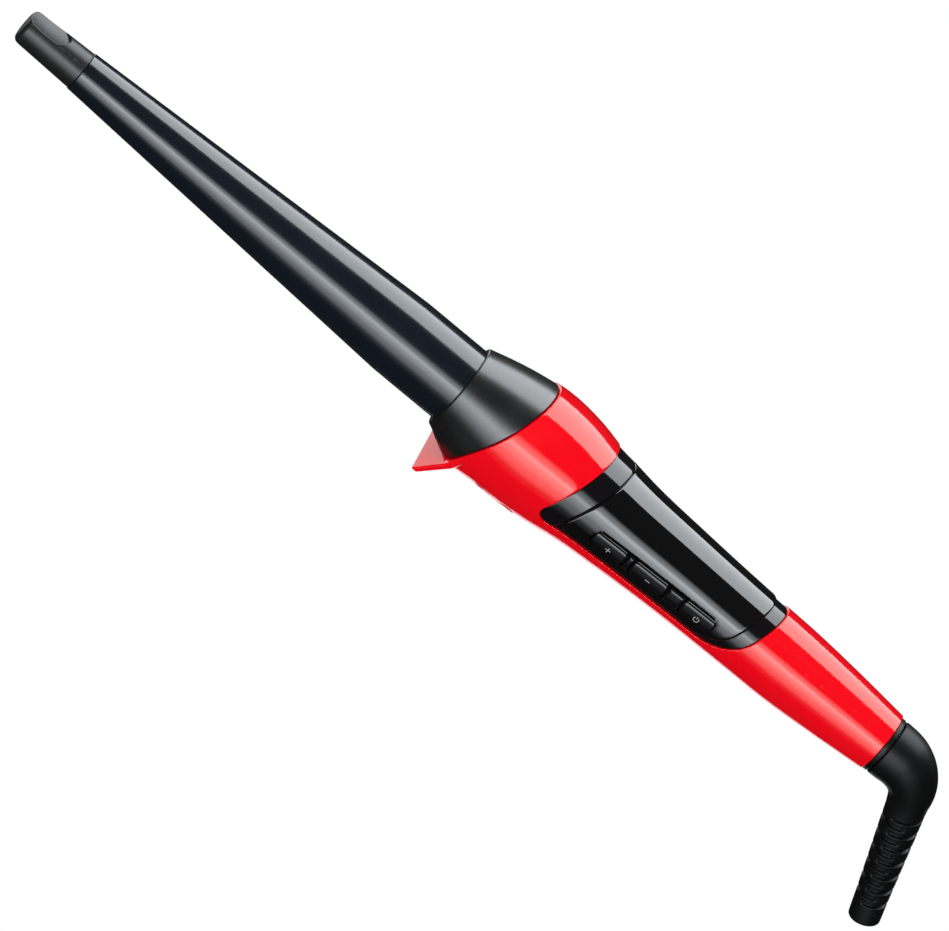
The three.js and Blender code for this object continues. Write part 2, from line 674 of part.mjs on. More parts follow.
function screwHole(place, radius, [z0, z1]) {
  return rodAlongZ(radius, [z0, z1], ...place);
}

// A post for a screw, rooted in the shell's wall.
function boss(place, radius, [z0, z1]) {
  const room = handleBody(place[0] + 2 * radius, place[0] - 2 * radius, SHELL_WALL / 2);
  return rodAlongZ(radius, [z0, z1], ...place).intersect(room);
}

// The whole handle housing, before it is split into its two shells.
function housing() {
  const behindSeam = seamSide(COLLAR_SEAM_X - GAP, -1);
  const outer = handleBody(-1, HANDLE_REAR_X, 0).intersect(behindSeam);
  const cavityRear = SWIVEL_RIB_FRONT_X;
  const cavityFront = handleBody(0, PANEL_FRONT_X + 4, SHELL_WALL);
  const cavityMiddle = handleBody(PANEL_FRONT_X + 6, PANEL_REAR_X - 6, CAVITY_INSET);
  const cavityBack = handleBody(PANEL_REAR_X - 4, cavityRear, SHELL_WALL);
  const flangeRoom = rodAlongX(
    SWIVEL.flangeRadius + GAP,
    [REAR_WALL_FRONT_X, SWIVEL_RIB_REAR_X],
    0,
    SWIVEL_Z,
    24,
  );
  const neckHole = rodAlongX(
    SWIVEL.neckRadius + GAP,
    [HANDLE_REAR_X - OVERCUT, REAR_WALL_FRONT_X + OVERCUT],
    0,
    SWIVEL_Z,
    24,
  );
  const drumReach = [SWIVEL_RIB_REAR_X - OVERCUT, SWIVEL_RIB_FRONT_X + OVERCUT];
  const drumHole = rodAlongX(SWIVEL.drumRadius + GAP, drumReach, 0, SWIVEL_Z, 24);
  const recess = panelPocket.intersect(skin(-BIG / 20, SEAT_INSET));
  const rib = handleBody(RIB_FRONT_X, RIB_REAR_X, SHELL_WALL / 2)
    .subtract(rodAlongX(BARREL_BASE_RADIUS, [-BIG, BIG], 0, 0, 24))
    .intersect(behindSeam);
  return outer
    .subtract(cavityFront)
    .subtract(cavityMiddle)
    .subtract(cavityBack)
    .subtract(flangeRoom)
    .subtract(neckHole)
    .subtract(drumHole)
    .subtract(recess)
    .subtract(bezelSlot())
    .add(rib);
}

// The flared lip that the wand stands on, before the collar's room is taken out of it.
function standLip() {
  const soleZ = (x) => -STAND_DEPTH - REST_SLOPE * x;
  const [footFront, footRear] = [FOOT_THICKNESS / 2, -FOOT_THICKNESS / 2];
  const rootFront = seamAt(COLLAR_SEAM_X - GAP, STAND_ROOT_Z);
  const rootRear = rootFront - STAND_ROOT_THICKNESS;
  const wedge = slabAlongY([
    [seamAt(COLLAR_SEAM_X - GAP, -2), -2, 0],
    [seamAt(COLLAR_SEAM_X - GAP, -2) - 2, -2, 0],
    [rootRear, STAND_ROOT_Z, 0],
    [footRear, soleZ(footRear), 0],
    [footFront, soleZ(footFront), 0],
    [rootFront, STAND_ROOT_Z, 0],
  ], [-BIG / 2, BIG / 2]);
  const half = STAND_WIDTH / 2;
  const body = handleAt(COLLAR_SEAM_X).radius;
  const front = slabAlongX([
    [-half, -STAND_DEPTH - 1, 0],
    [half, -STAND_DEPTH - 1, 0],
    [half, -STAND_DEPTH + 1.5, 1],
    [body - 0.4, -7, 6],
    [body - 1.2, 0, 0],
    [-body + 1.2, 0, 0],
    [-body + 0.4, -7, 6],
    [-half, -STAND_DEPTH + 1.5, 1],
  ], [-30, 30]);
  return wedge.intersect(front);
}

function upperShell(whole) {
  const above = box([-4 * BIG, 2 * BIG], [-BIG, BIG], [SPLIT_GAP, BIG]);
  const posts = HOUSING_SCREW_PLACES.map((place) => (
    boss(place, HOUSING_SCREW.bossRadius, [SPLIT_GAP, BIG])
  ));
  const pilots = HOUSING_SCREW_PLACES.map((place) => (
    screwHole(place, HOUSING_SCREW.shankRadius + GAP, [-OVERCUT, HOUSING_SCREW.tipZ + GAP])
  ));
  const displayHole = box(
    [DISPLAY_REAR_X - 1.2, DISPLAY.frontX + 1.2],
    [-DISPLAY_HALF - 1.2, DISPLAY_HALF + 1.2],
    [CONTROL_BOARD_BOTTOM_Z - 0.8, BIG],
  );
  let shell = whole.intersect(above);
  for (const post of posts) shell = shell.add(post);
  for (const pilot of pilots) shell = shell.subtract(pilot);
  return shell.subtract(displayHole);
}

function lowerShell(whole) {
  const below = box([-4 * BIG, 2 * BIG], [-BIG, BIG], [-BIG, -SPLIT_GAP]);
  const collarRoom = handleBody(COLLAR_FRONT_X + 10, -25, COLLAR_SINK - GAP)
    .intersect(seamSide(COLLAR_SEAM_X - GAP, 1));
  const inside = handleBody(COLLAR_FRONT_X + 10, PANEL_FRONT_X + 4, SHELL_WALL);
  const lip = standLip().subtract(collarRoom).subtract(inside);
  let shell = whole.intersect(below).add(lip);
  for (const place of HOUSING_SCREW_PLACES) {
    shell = shell.add(boss(place, HOUSING_SCREW.bossRadius + 0.4, [-BIG, -SPLIT_GAP]));
  }
  for (const place of HOUSING_SCREW_PLACES) {
    const { shankRadius, headRadius, seatZ } = HOUSING_SCREW;
    shell = shell.subtract(screwHole(place, shankRadius + GAP, [-BIG, OVERCUT]));
    shell = shell.subtract(screwHole(place, headRadius + GAP, [-BIG, seatZ]));
  }
  for (const x of BOARD_SCREW_XS) {
    const topZ = POWER_BOARD_BOTTOM_Z - GAP;
    const pilotZ = POWER_BOARD.topZ - BOARD_SCREW.length;
    const pilotRadius = BOARD_SCREW.shankRadius + GAP;
    shell = shell.add(boss([x, 0], BOARD_POST_RADIUS, [-BIG, topZ]));
    shell = shell.subtract(screwHole([x, 0], pilotRadius, [pilotZ, topZ + OVERCUT]));
  }
  return shell;
}

function housingScrew([x, y]) {
  const { shankRadius, headRadius, headHeight, seatZ, tipZ } = HOUSING_SCREW;
  const headTop = seatZ - GAP;
  const shank = rodAlongZ(shankRadius, [headTop - 0.5, tipZ], x, y, 10);
  return shank.add(rodAlongZ(headRadius, [headTop - headHeight, headTop], x, y, 14));
}

// ---------- Panel, window and display ----------

function displayAperture(margin) {
  return box(
    [DISPLAY_REAR_X + margin, DISPLAY.frontX - margin],
    [-DISPLAY_HALF + margin, DISPLAY_HALF - margin],
    [2, BIG],
  );
}

function controlPanel() {
  const whole = skin(PANEL_SINK, PANEL_INSET).intersect(panelRegion);
  const windowInset = PANEL_SINK - WINDOW_PROUD + WINDOW_THICKNESS + GAP;
  const recess = skin(-BIG / 20, windowInset).intersect(windowPocket);
  return whole.subtract(recess).subtract(bezelSlot()).subtract(displayAperture(0.8));
}

function displayWindow() {
  const outerInset = PANEL_SINK - WINDOW_PROUD;
  const whole = skin(outerInset, outerInset + WINDOW_THICKNESS).intersect(windowRegion);
  return whole.subtract(windowKeySlot());
}

function displayPlate([z0, z1]) {
  return box([DISPLAY_REAR_X, DISPLAY.frontX], [-DISPLAY_HALF, DISPLAY_HALF], [z0, z1]);
}

function controlBoard() {
  const half = CONTROL_BOARD.width / 2;
  return box(
    [DISPLAY_REAR_X - CONTROL_BOARD.margin, DISPLAY.frontX + CONTROL_BOARD.margin],
    [-half, half],
    [CONTROL_BOARD_BOTTOM_Z, CONTROL_BOARD_TOP_Z],
  );
}

// ---------- Power electronics ----------

function powerBoard() {
  const { frontX, rearX, width, topZ } = POWER_BOARD;
  const span = [POWER_BOARD_BOTTOM_Z, topZ];
  let board = box([rearX, frontX], [-width / 2, width / 2], span);
  for (const x of BOARD_SCREW_XS) {
    const reach = [POWER_BOARD_BOTTOM_Z - OVERCUT, topZ + OVERCUT];
    board = board.subtract(rodAlongZ(BOARD_SCREW.shankRadius + GAP, reach, x, 0));
  }
  return board;
}

function boardScrew(x) {
  const { shankRadius, headRadius, headHeight, length } = BOARD_SCREW;
  const seatZ = POWER_BOARD.topZ + GAP;
  const shank = rodAlongZ(shankRadius, [seatZ - length, seatZ + 0.4], x, 0, 10);
  return shank.add(rodAlongZ(headRadius, [seatZ, seatZ + headHeight], x, 0, 14));
}

const PART_Z = POWER_BOARD.topZ + GAP; // where parts stand on the power board

function filmCapacitor() {
  const rear = POWER_BOARD.frontX - 31;
  return box([rear, rear + 13], [-6.3, 0], [PART_Z, PART_Z + 7.4]);
}

function triac() {
  const rear = POWER_BOARD.frontX - 52;
  const body = box([rear, rear + 9.2], [-6.5, 3.5], [PART_Z, PART_Z + 4.4]);
  const tab = box([rear + 9, rear + 15], [-6.5, 3.5], [PART_Z, PART_Z + 1.3]);
  const hole = rodAlongZ(1.8, [PART_Z - OVERCUT, PART_Z + 2], rear + 12, -1.5);
  return body.add(tab).subtract(hole);
}

function mainsFuse() {
  const front = POWER_BOARD.rearX + 14;
  return rodAlongX(2.1, [front - 10, front], -4.6, PART_Z + 2.1, 12);
}

// A flat cable that joins the control board to the power board.
function displayRibbon() {
  const x = DISPLAY.frontX + CONTROL_BOARD.margin + GAP;
  const [low, high] = [POWER_BOARD.topZ + GAP, CONTROL_BOARD_TOP_Z - 0.9];
  return slabAlongY([
    [x, high, 0],
    [x, high + 0.4, 0],
    [x + 2.6, high + 0.4, 0.6],
    [x + 2.6, low, 0],
    [x + 2.2, low, 0],
    [x + 2.2, high, 0.4],
  ], [-4, 4], 3);
}

// ---------- Swivel and boot ----------

const WIRE_RADIUS = 0.75;
const WASHER_THICKNESS = 1.4;
const BOOT_FRONT_X = HANDLE_REAR_X - WASHER_THICKNESS - 2 * GAP;
const HOLDER_LENGTH = 15;
const HOLDER_REAR_X = SWIVEL_RIB_FRONT_X + GAP;
const HOLDER_RADIUS = handleAt(HOLDER_REAR_X).radius - SHELL_WALL - GAP;
const HOLDER_BORE_RADIUS = HOLDER_RADIUS - 1.1;
const BRUSH = { thickness: 0.4, width: 3, halfLength: 3, baseRadius: HOLDER_BORE_RADIUS - 0.5 };
const SLIP_RING = {
  innerRadius: SWIVEL.drumRadius + GAP,
  outerRadius: HOLDER_BORE_RADIUS - 2 * WIRE_RADIUS - 0.4, // a mains lead passes over it
  width: 3.5,
};
const SLIP_RING_XS = [SWIVEL_RIB_FRONT_X + 5, SWIVEL_RIB_FRONT_X + 12.5];

function swivelSpool() {
  const frontX = SPOOL_FLANGE_FRONT_X + SWIVEL.drumLength;
  const rearX = BOOT_FRONT_X - SWIVEL.neckInsert + SWIVEL.wall;
  const body = turned([
    [frontX, 0],
    [frontX, SWIVEL.drumRadius],
    [SPOOL_FLANGE_FRONT_X, SWIVEL.drumRadius],
    [SPOOL_FLANGE_FRONT_X, SWIVEL.flangeRadius],
    [SPOOL_FLANGE_REAR_X, SWIVEL.flangeRadius],
    [SPOOL_FLANGE_REAR_X, SWIVEL.neckRadius],
    [rearX, SWIVEL.neckRadius],
    [rearX, 0],
  ], { z: SWIVEL_Z });
  const reach = [rearX - OVERCUT, frontX + OVERCUT];
  return body.subtract(rodAlongX(SWIVEL.boreRadius, reach, 0, SWIVEL_Z));
}

function ringAlongX([x0, x1], innerRadius, outerRadius, z) {
  const outer = rodAlongX(outerRadius, [x0, x1], 0, z, 24);
  return outer.subtract(rodAlongX(innerRadius, [x0 - OVERCUT, x1 + OVERCUT], 0, z, 24));
}

function slipRing(x) {
  const half = SLIP_RING.width / 2;
  return ringAlongX([x - half, x + half], SLIP_RING.innerRadius, SLIP_RING.outerRadius, SWIVEL_Z);
}

function swivelWasher() {
  const frontX = HANDLE_REAR_X - GAP;
  const reach = [frontX - WASHER_THICKNESS, frontX];
  return ringAlongX(reach, SWIVEL.neckRadius + GAP, BOOT_REAR_RADIUS, SWIVEL_Z);
}

// A half ring under the drum that carries the two brushes.
function brushHolder() {
  const reach = [HOLDER_REAR_X, HOLDER_REAR_X + HOLDER_LENGTH];
  const ring = ringAlongX(reach, HOLDER_BORE_RADIUS, HOLDER_RADIUS, SWIVEL_Z);
  return ring.intersect(box([-4 * BIG, BIG], [-BIG, BIG], [-BIG, SWIVEL_Z + 2]));
}

// A bowed leaf between the holder's side and its slip ring; side is the sign of its y.
function brush(x, side) {
  const contact = SLIP_RING.outerRadius + GAP;
  const { halfLength, thickness, baseRadius: base } = BRUSH;
  const shape = new THREE.Shape();
  shape.moveTo(x - halfLength, base - thickness);
  shape.quadraticCurveTo(x, 2 * contact - base + thickness, x + halfLength, base - thickness);
  shape.lineTo(x + halfLength, base);
  shape.quadraticCurveTo(x, 2 * contact - base + 2 * thickness, x - halfLength, base);
  shape.closePath();
  const options = { depth: BRUSH.width, bevelEnabled: false, curveSegments: 6 };
  const geometry = new THREE.ExtrudeGeometry(shape, options);
  if (side < 0) {
    geometry.rotateX(Math.PI);
    geometry.translate(0, 0, BRUSH.width);
  }
  geometry.translate(0, 0, SWIVEL_Z - BRUSH.width / 2);
  return solid(geometry);
}

// Rings along the boot's centre line, which bends down from the swivel's axis. The list holds
// each ring's centre [x, z], its heading angle below the axis and the distance along the line.
function bootLine() {
  const rings = [];
  const bendStartX = BOOT_FRONT_X - BOOT_STRAIGHT;
  rings.push({ x: BOOT_FRONT_X, z: SWIVEL_Z, angle: 0 });
  const bendSteps = 8;
  for (let i = 0; i <= bendSteps; i += 1) {
    const angle = (BOOT_BEND * i) / bendSteps;
    rings.push({
      x: bendStartX - BOOT_BEND_RADIUS * Math.sin(angle),
      z: SWIVEL_Z - BOOT_BEND_RADIUS * (1 - Math.cos(angle)),
      angle,
    });
  }
  const bendEnd = rings.at(-1);
  const sleeveSteps = 5;
  for (let i = 1; i <= sleeveSteps; i += 1) {
    const run = (SLEEVE_LENGTH * i) / sleeveSteps;
    rings.push({
      x: bendEnd.x - run * Math.cos(BOOT_BEND),
      z: bendEnd.z - run * Math.sin(BOOT_BEND),
      angle: BOOT_BEND,
    });
  }
  return rings;
}

// The boot's radius: full round the swivel, narrowing through the bend and along the sleeve.
function bootRadius(ring, i, rings) {
  const bendCount = 9;
  if (i <= bendCount) {
    const share = THREE.MathUtils.smoothstep(i, 1, bendCount + 1);
    return THREE.MathUtils.lerp(BOOT_REAR_RADIUS, SLEEVE_TOP_RADIUS, share);
  }
  const share = (i - bendCount) / (rings.length - 1 - bendCount);
  return THREE.MathUtils.lerp(SLEEVE_TOP_RADIUS, SLEEVE_END_RADIUS, share);
}

// A closed body through round rings square to the boot's line.
function bentBody(rings, radii, sides) {
  const positions = [];
  const index = [];
  rings.forEach(({ x, z, angle }, i) => {
    for (let k = 0; k < sides; k += 1) {
      const turn = (2 * Math.PI * k) / sides;
      const up = radii[i] * Math.sin(turn);
      positions.push(x - up * Math.sin(angle), radii[i] * Math.cos(turn), z + up * Math.cos(angle));
    }
  });
  for (let i = 0; i + 1 < rings.length; i += 1) {
    for (let k = 0; k < sides; k += 1) {
      const next = (k + 1) % sides;
      const [a, b] = [i * sides + k, i * sides + next];
      const [c, d] = [a + sides, b + sides];
      index.push(a, c, b, b, c, d);
    }
  }
  const last = (rings.length - 1) * sides;
  for (let k = 1; k + 1 < sides; k += 1) {
    index.push(0, k, k + 1);
    index.push(last, last + k + 1, last + k);
  }
  const geometry = new THREE.BufferGeometry();
  geometry.setAttribute('position', new THREE.Float32BufferAttribute(positions, 3));
  geometry.setIndex(index);
  return solid(geometry);
}

function boot() {
  const rings = bootLine();
  const outer = bentBody(rings, rings.map(bootRadius), 20);
  const end = rings.at(-1);
  const past = {
    x: end.x - OVERCUT * Math.cos(end.angle),
    z: end.z - OVERCUT * Math.sin(end.angle),
    angle: end.angle,
  };
  const boreRings = [...rings.slice(2), past];
  const bore = bentBody(boreRings, boreRings.map(() => CORD_BORE_RADIUS), 16);
  const socketReach = [BOOT_FRONT_X - SWIVEL.neckInsert + SWIVEL.wall - GAP, BOOT_FRONT_X + OVERCUT];
  const socket = rodAlongX(SWIVEL.neckRadius + GAP, socketReach, 0, SWIVEL_Z, 20);
  return outer.subtract(bore).subtract(socket);
}

// ---------- Leads held inside ----------

function sensorLead() {
  const start = THERMISTOR.x - THERMISTOR.length / 2 - GAP;
  return wire([
    [start, 0, THERMISTOR_Z],
    [HEATER_REAR_X, 0, THERMISTOR_Z],
    [10, 1, 5.5],
    [-22, 2, 4.6],
    [DISPLAY.frontX + CONTROL_BOARD.margin + 4.4, 5, CONTROL_BOARD_BOTTOM_Z - 1.2],
    [DISPLAY.frontX + CONTROL_BOARD.margin - 2, 4.6, CONTROL_BOARD_BOTTOM_Z - 1.2],
  ], 0.6, 14);
}

function liveLead() {
  const start = THERMAL_FUSE.x - THERMAL_FUSE.length / 2 - GAP;
  return wire([
    [start, 0, THERMAL_FUSE_Z],
    [HEATER_REAR_X, 0, THERMAL_FUSE_Z],
    [10, -2, -6.5],
    [-18, -4, -6],
    [POWER_BOARD.frontX + GAP, -4, POWER_BOARD.topZ - POWER_BOARD.thickness / 2],
  ], WIRE_RADIUS, 14);
}

function neutralLead() {
  const tailX = HEATER_REAR_X - ELECTRODE.tail - GAP;
  return wire([
    [tailX, 0, ELECTRODE_Z + ELECTRODE.thickness / 2],
    [20, 1, 1.6],
    [-8, 4, -1],
    [-20, 4.6, -4.6],
    [POWER_BOARD.frontX + GAP, 4.6, POWER_BOARD.topZ - POWER_BOARD.thickness / 2],
  ], WIRE_RADIUS, 13);
}

// From the thermal fuse, forward and round the lower block's front to the lower electrode.
function fuseLink() {
  const start = THERMAL_FUSE.x + THERMAL_FUSE.length / 2 + GAP;
  const electrodeFront = HEATER.frontX + ELECTRODE.overhang + GAP;
  return wire([
    [start, 0, THERMAL_FUSE_Z],
    [HEATER.frontX - 10, 0, -CHANNEL_Z - 1.1],
    [HEATER.frontX + 1.5, 0, -CHANNEL_Z - 0.9],
    [HEATER.frontX + 4, 0, -2.8],
    [electrodeFront + 1.2, 0, -ELECTRODE_Z - ELECTRODE.thickness / 2],
    [electrodeFront, 0, -ELECTRODE_Z - ELECTRODE.thickness / 2],
  ], 0.6, 14);
}

function mainsLead(brushX, side) {
  const y = (side * (SLIP_RING.outerRadius + HOLDER_BORE_RADIUS)) / 2;
  return wire([
    [brushX + BRUSH.halfLength + GAP, y, SWIVEL_Z],
    [brushX + BRUSH.halfLength + 4, y, SWIVEL_Z],
    [HOUSING_SCREW_PLACES[2][0] - 4, side * 6.4, -4],
    [HOUSING_SCREW_PLACES[2][0] + 5, side * 6, -5.4],
    [POWER_BOARD.rearX - GAP, side * 4.5, POWER_BOARD.topZ - POWER_BOARD.thickness / 2],
  ], WIRE_RADIUS, 13);
}

// ---------- Assembly ----------

const wand = new THREE.Group();

function add(name, body, finishName) {
  const mesh = new THREE.Mesh(geometryOf(body), FINISHES[finishName]());
  mesh.name = name;
  wand.add(mesh);
}

add('cool_tip', coolTip(), 'satinCharcoal');
add('tip_insulator', tipInsulator(), 'insulator');
add('tip_screw', tipScrew(), 'steel');
add('barrel', barrel(), 'coatedAluminium');

add('heater_block_upper', heaterBlock(1), 'bareAluminium');
add('heater_block_lower', heaterBlock(-1), 'bareAluminium');
add('electrode_upper', electrode(1), 'copper');
add('electrode_lower', electrode(-1), 'copper');
['front', 'middle', 'rear'].slice(0, CHIP.count).forEach((place, i) => {
  add(`heater_chip_${place}`, heaterChip(i), 'ceramic');
});
add('thermistor', sensorRod(THERMISTOR, THERMISTOR_Z), 'ceramic');
add('thermal_fuse', sensorRod(THERMAL_FUSE, THERMAL_FUSE_Z), 'steel');

add('barrel_seat', barrelSeat(), 'insulator');
add('retaining_ring', retainingRing(), 'insulator');
add('collar', collar(), 'satinCharcoal');

const whole = housing();
add('upper_shell', upperShell(whole), 'glossRed');
add('lower_shell', lowerShell(whole), 'glossRed');
HOUSING_SCREW_PLACES.forEach((place, i) => {
  add(`housing_screw_${i + 1}`, housingScrew(place), 'steel');
});

add('control_panel', controlPanel(), 'glossBlack');
add('display_window', displayWindow(), 'smokedClear');
add('display_glass', displayPlate([GLASS_BOTTOM_Z, GLASS_TOP_Z]), 'displayGlass');
add('display_light', displayPlate([LIGHT_BOTTOM_Z, LIGHT_BOTTOM_Z + DISPLAY.light]), 'whitePlastic');
add('control_board', controlBoard(), 'circuitBoard');

add('key_bezel', keyBezel(), 'glossBlack');
for (const key of KEYS) {
  add(`button_${key.name}`, keyCap(key), 'glossBlack');
  add(`switch_stem_${key.name}`, keySwitchStem(key), 'whitePlastic');
  add(`switch_${key.name}`, keySwitch(key), 'component');
}
add('key_board', keyBoard(), 'circuitBoard');

add('power_board', powerBoard(), 'circuitBoard');
BOARD_SCREW_XS.forEach((x, i) => add(`board_screw_${i + 1}`, boardScrew(x), 'steel'));
add('film_capacitor', filmCapacitor(), 'component');
add('triac', triac(), 'component');
add('mains_fuse', mainsFuse(), 'ceramic');
add('display_ribbon', displayRibbon(), 'whitePlastic');

add('swivel_spool', swivelSpool(), 'whitePlastic');
add('slip_ring_live', slipRing(SLIP_RING_XS[0]), 'brass');
add('slip_ring_neutral', slipRing(SLIP_RING_XS[1]), 'brass');
add('brush_holder', brushHolder(), 'whitePlastic');
add('brush_live', brush(SLIP_RING_XS[0], 1), 'copper');
add('brush_neutral', brush(SLIP_RING_XS[1], -1), 'copper');
add('swivel_washer', swivelWasher(), 'bootRubber');
add('boot', boot(), 'bootRubber');

add('sensor_lead', sensorLead(), 'wireWhite');
add('heater_lead_live', liveLead(), 'wireRed');
add('heater_lead_neutral', neutralLead(), 'wireBlue');
add('fuse_link', fuseLink(), 'wireWhite');
add('mains_lead_live', mainsLead(SLIP_RING_XS[0], 1), 'wireRed');
add('mains_lead_neutral', mainsLead(SLIP_RING_XS[1], -1), 'wireBlue');

wand.position.z = STAND_DEPTH;
wand.updateMatrixWorld(true);

export default wand;
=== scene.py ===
"""A conical curling wand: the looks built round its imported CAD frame. Sizes are in millimetres
until a mesh is made, with X along the wand towards its tip and Z measured from its axis."""

import math

import bpy
import numpy as np
from mathutils import Matrix, Vector


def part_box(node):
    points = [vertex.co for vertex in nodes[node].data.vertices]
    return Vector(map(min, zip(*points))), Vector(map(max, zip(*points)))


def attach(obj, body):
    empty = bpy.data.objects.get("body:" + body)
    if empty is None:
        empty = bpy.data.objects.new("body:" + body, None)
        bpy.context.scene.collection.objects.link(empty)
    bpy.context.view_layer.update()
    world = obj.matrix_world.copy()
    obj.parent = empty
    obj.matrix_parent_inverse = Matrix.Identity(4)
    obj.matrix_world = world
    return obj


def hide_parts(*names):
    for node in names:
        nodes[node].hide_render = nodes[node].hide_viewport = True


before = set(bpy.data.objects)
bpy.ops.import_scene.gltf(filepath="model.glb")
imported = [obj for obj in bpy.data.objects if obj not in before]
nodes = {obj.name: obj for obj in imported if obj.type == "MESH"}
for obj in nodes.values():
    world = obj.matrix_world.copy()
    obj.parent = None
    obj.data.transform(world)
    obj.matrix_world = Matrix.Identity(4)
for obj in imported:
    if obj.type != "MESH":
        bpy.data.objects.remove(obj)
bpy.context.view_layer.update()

# ---- Camera --------------------------------------------------------------------------------
# A long lens well back from the wand, on the side of its keys and a little above it, rolled so
# that the wand lies across the frame from upper left to lower right.

VIEW_TURN = math.radians(58)  # from straight above, towards the keys
VIEW_LEAN = math.radians(7)  # towards the tip
VIEW_ROLL = math.radians(39.65)
VIEW_DISTANCE = 9.0
VIEW_LENS = 1170.9
VIEW_TARGET = Vector((-0.0117, 0.00812, 0.01012))

view_side = Vector((0, math.sin(VIEW_TURN), math.cos(VIEW_TURN)))
view_over = Vector((0, -math.cos(VIEW_TURN), math.sin(VIEW_TURN)))
view_back = math.sin(VIEW_LEAN) * Vector((1, 0, 0)) + math.cos(VIEW_LEAN) * view_side
view_along = math.cos(VIEW_LEAN) * Vector((1, 0, 0)) - math.sin(VIEW_LEAN) * view_side
view_right = -math.cos(VIEW_ROLL) * view_along + math.sin(VIEW_ROLL) * view_over
view_up = math.sin(VIEW_ROLL) * view_along + math.cos(VIEW_ROLL) * view_over

camera_data = bpy.data.cameras.new("studio_camera")
camera_data.lens = VIEW_LENS
camera_data.clip_start = 0.1
camera_data.clip_end = 20
camera = bpy.data.objects.new("studio_camera", camera_data)
axes = Matrix((view_right, view_up, view_back)).transposed()
camera.matrix_world = Matrix.Translation(VIEW_TARGET + VIEW_DISTANCE * view_back) @ axes.to_4x4()
bpy.context.scene.collection.objects.link(camera)
bpy.context.scene.camera = camera
bpy.context.scene.view_settings.view_transform = "Standard"

# ---- Floor and studio light ----------------------------------------------------------------
# A plain white floor some way below the wand, an even white surround for the body colour, and
# softboxes that only show as reflections: a long one overhead with crisp edges, a long graded
# one low down, one behind the handle and a small one that lights the front of the stand lip.

AXIS_Z = (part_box("barrel")[0].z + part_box("barrel")[1].z) / 2
FLOOR_DEPTH = -0.25
FLOOR_HALF = 6.0
BODY_LIGHT = 1.04
REFLECTED_SKY = 0.05  # the surround is dark in reflections, which keeps the gloss deep
REFLECTED_GROUND = 0.02
SKY_FROM = -0.3  # heights of view, from -1 straight down to 1, between which ground turns to sky
SKY_TO = 0.6
SOFTBOX_DISTANCE = 1.6
SOFTBOX_TINT = (0.90, 0.955, 1.0, 1)
FRONT_BOX_WAY = Vector((0.518, -0.842, -0.153))
FRONT_BOX_HALF = 0.5
FRONT_BOX_STRENGTH = 1.7
KEY_LIGHT_PLACE = Vector((0.3, 0.7, 1.2))


def node_in(tree, kind, **sockets):
    """Adds a node and sets its inputs by name or, with an underscore, by place: _0, _1."""
    made = tree.nodes.new(kind)
    for key, value in sockets.items():
        target = made.inputs[int(key[1:])] if key.startswith("_") else made.inputs[key]
        if isinstance(value, bpy.types.NodeSocket):
            tree.links.new(value, target)
        else:
            target.default_value = value
    return made


def math_in(tree, operation, *values):
    """Adds a math node on numbers or sockets and returns its output."""
    made = tree.nodes.new("ShaderNodeMath")
    made.operation = operation
    for target, value in zip(made.inputs, values):
        if isinstance(value, bpy.types.NodeSocket):
            tree.links.new(value, target)
        else:
            target.default_value = value
    return made.outputs[0]


def quad_object(name, corners):
    """A flat four-cornered sheet through the given points, in metres."""
    mesh = bpy.data.meshes.new(name)
    mesh.from_pydata([tuple(c) for c in corners], [], [(0, 1, 2, 3)])
    obj = bpy.data.objects.new(name, mesh)
    bpy.context.scene.collection.objects.link(obj)
    return obj


world = bpy.data.worlds.new("studio")
bpy.context.scene.world = world
world.use_nodes = True
tree = world.node_tree
tree.nodes.clear()
path = tree.nodes.new("ShaderNodeLightPath")
direction = tree.nodes.new("ShaderNodeTexCoord").outputs["Generated"]
height = node_in(tree, "ShaderNodeSeparateXYZ", Vector=direction).outputs["Z"]
sky = node_in(tree, "ShaderNodeMapRange", Value=height)
sky.inputs["From Min"].default_value = SKY_FROM
sky.inputs["From Max"].default_value = SKY_TO
sky.inputs["To Min"].default_value = REFLECTED_GROUND
sky.inputs["To Max"].default_value = REFLECTED_SKY
glossy = math_in(tree, "MULTIPLY", sky.outputs[0], path.outputs["Is Glossy Ray"])
plain = math_in(tree, "SUBTRACT", 1.0, path.outputs["Is Glossy Ray"])
lit = math_in(tree, "MULTIPLY", plain, BODY_LIGHT)
seen = math_in(tree, "MULTIPLY", path.outputs["Is Camera Ray"], 1.0 - BODY_LIGHT)
strength = math_in(tree, "ADD", math_in(tree, "ADD", glossy, lit), seen)
shade = node_in(tree, "ShaderNodeBackground", Strength=strength)
surface = tree.nodes.new("ShaderNodeOutputWorld").inputs["Surface"]
tree.links.new(shade.outputs[0], surface)


def glow_on(sheet, name, colour, level, graded=None):
    """Gives a sheet a light of its own. graded lists (place across the sheet, grey)."""
    paint = bpy.data.materials.new(name)
    paint.use_nodes = True
    tree = paint.node_tree
    tree.nodes.clear()
    if graded:
        place = tree.nodes.new("ShaderNodeUVMap")
        place.uv_map = "across"
        v = node_in(tree, "ShaderNodeSeparateXYZ", Vector=place.outputs[0]).outputs["Y"]
        ramp = node_in(tree, "ShaderNodeValToRGB", Fac=v)
        ramp.color_ramp.interpolation = "EASE"
        for spot, _ in graded[2:]:
            ramp.color_ramp.elements.new(spot)
        for element, (spot, grey) in zip(ramp.color_ramp.elements, sorted(graded)):
            element.position = spot
            element.color = (grey, grey, grey, 1)
        level = math_in(tree, "MULTIPLY", ramp.outputs[0], level)
    light = node_in(tree, "ShaderNodeEmission", Color=colour, Strength=level)
    tree.links.new(light.outputs[0], tree.nodes.new("ShaderNodeOutputMaterial").inputs["Surface"])
    sheet.data.materials.append(paint)
    sheet.visible_diffuse = False
    sheet.visible_shadow = False


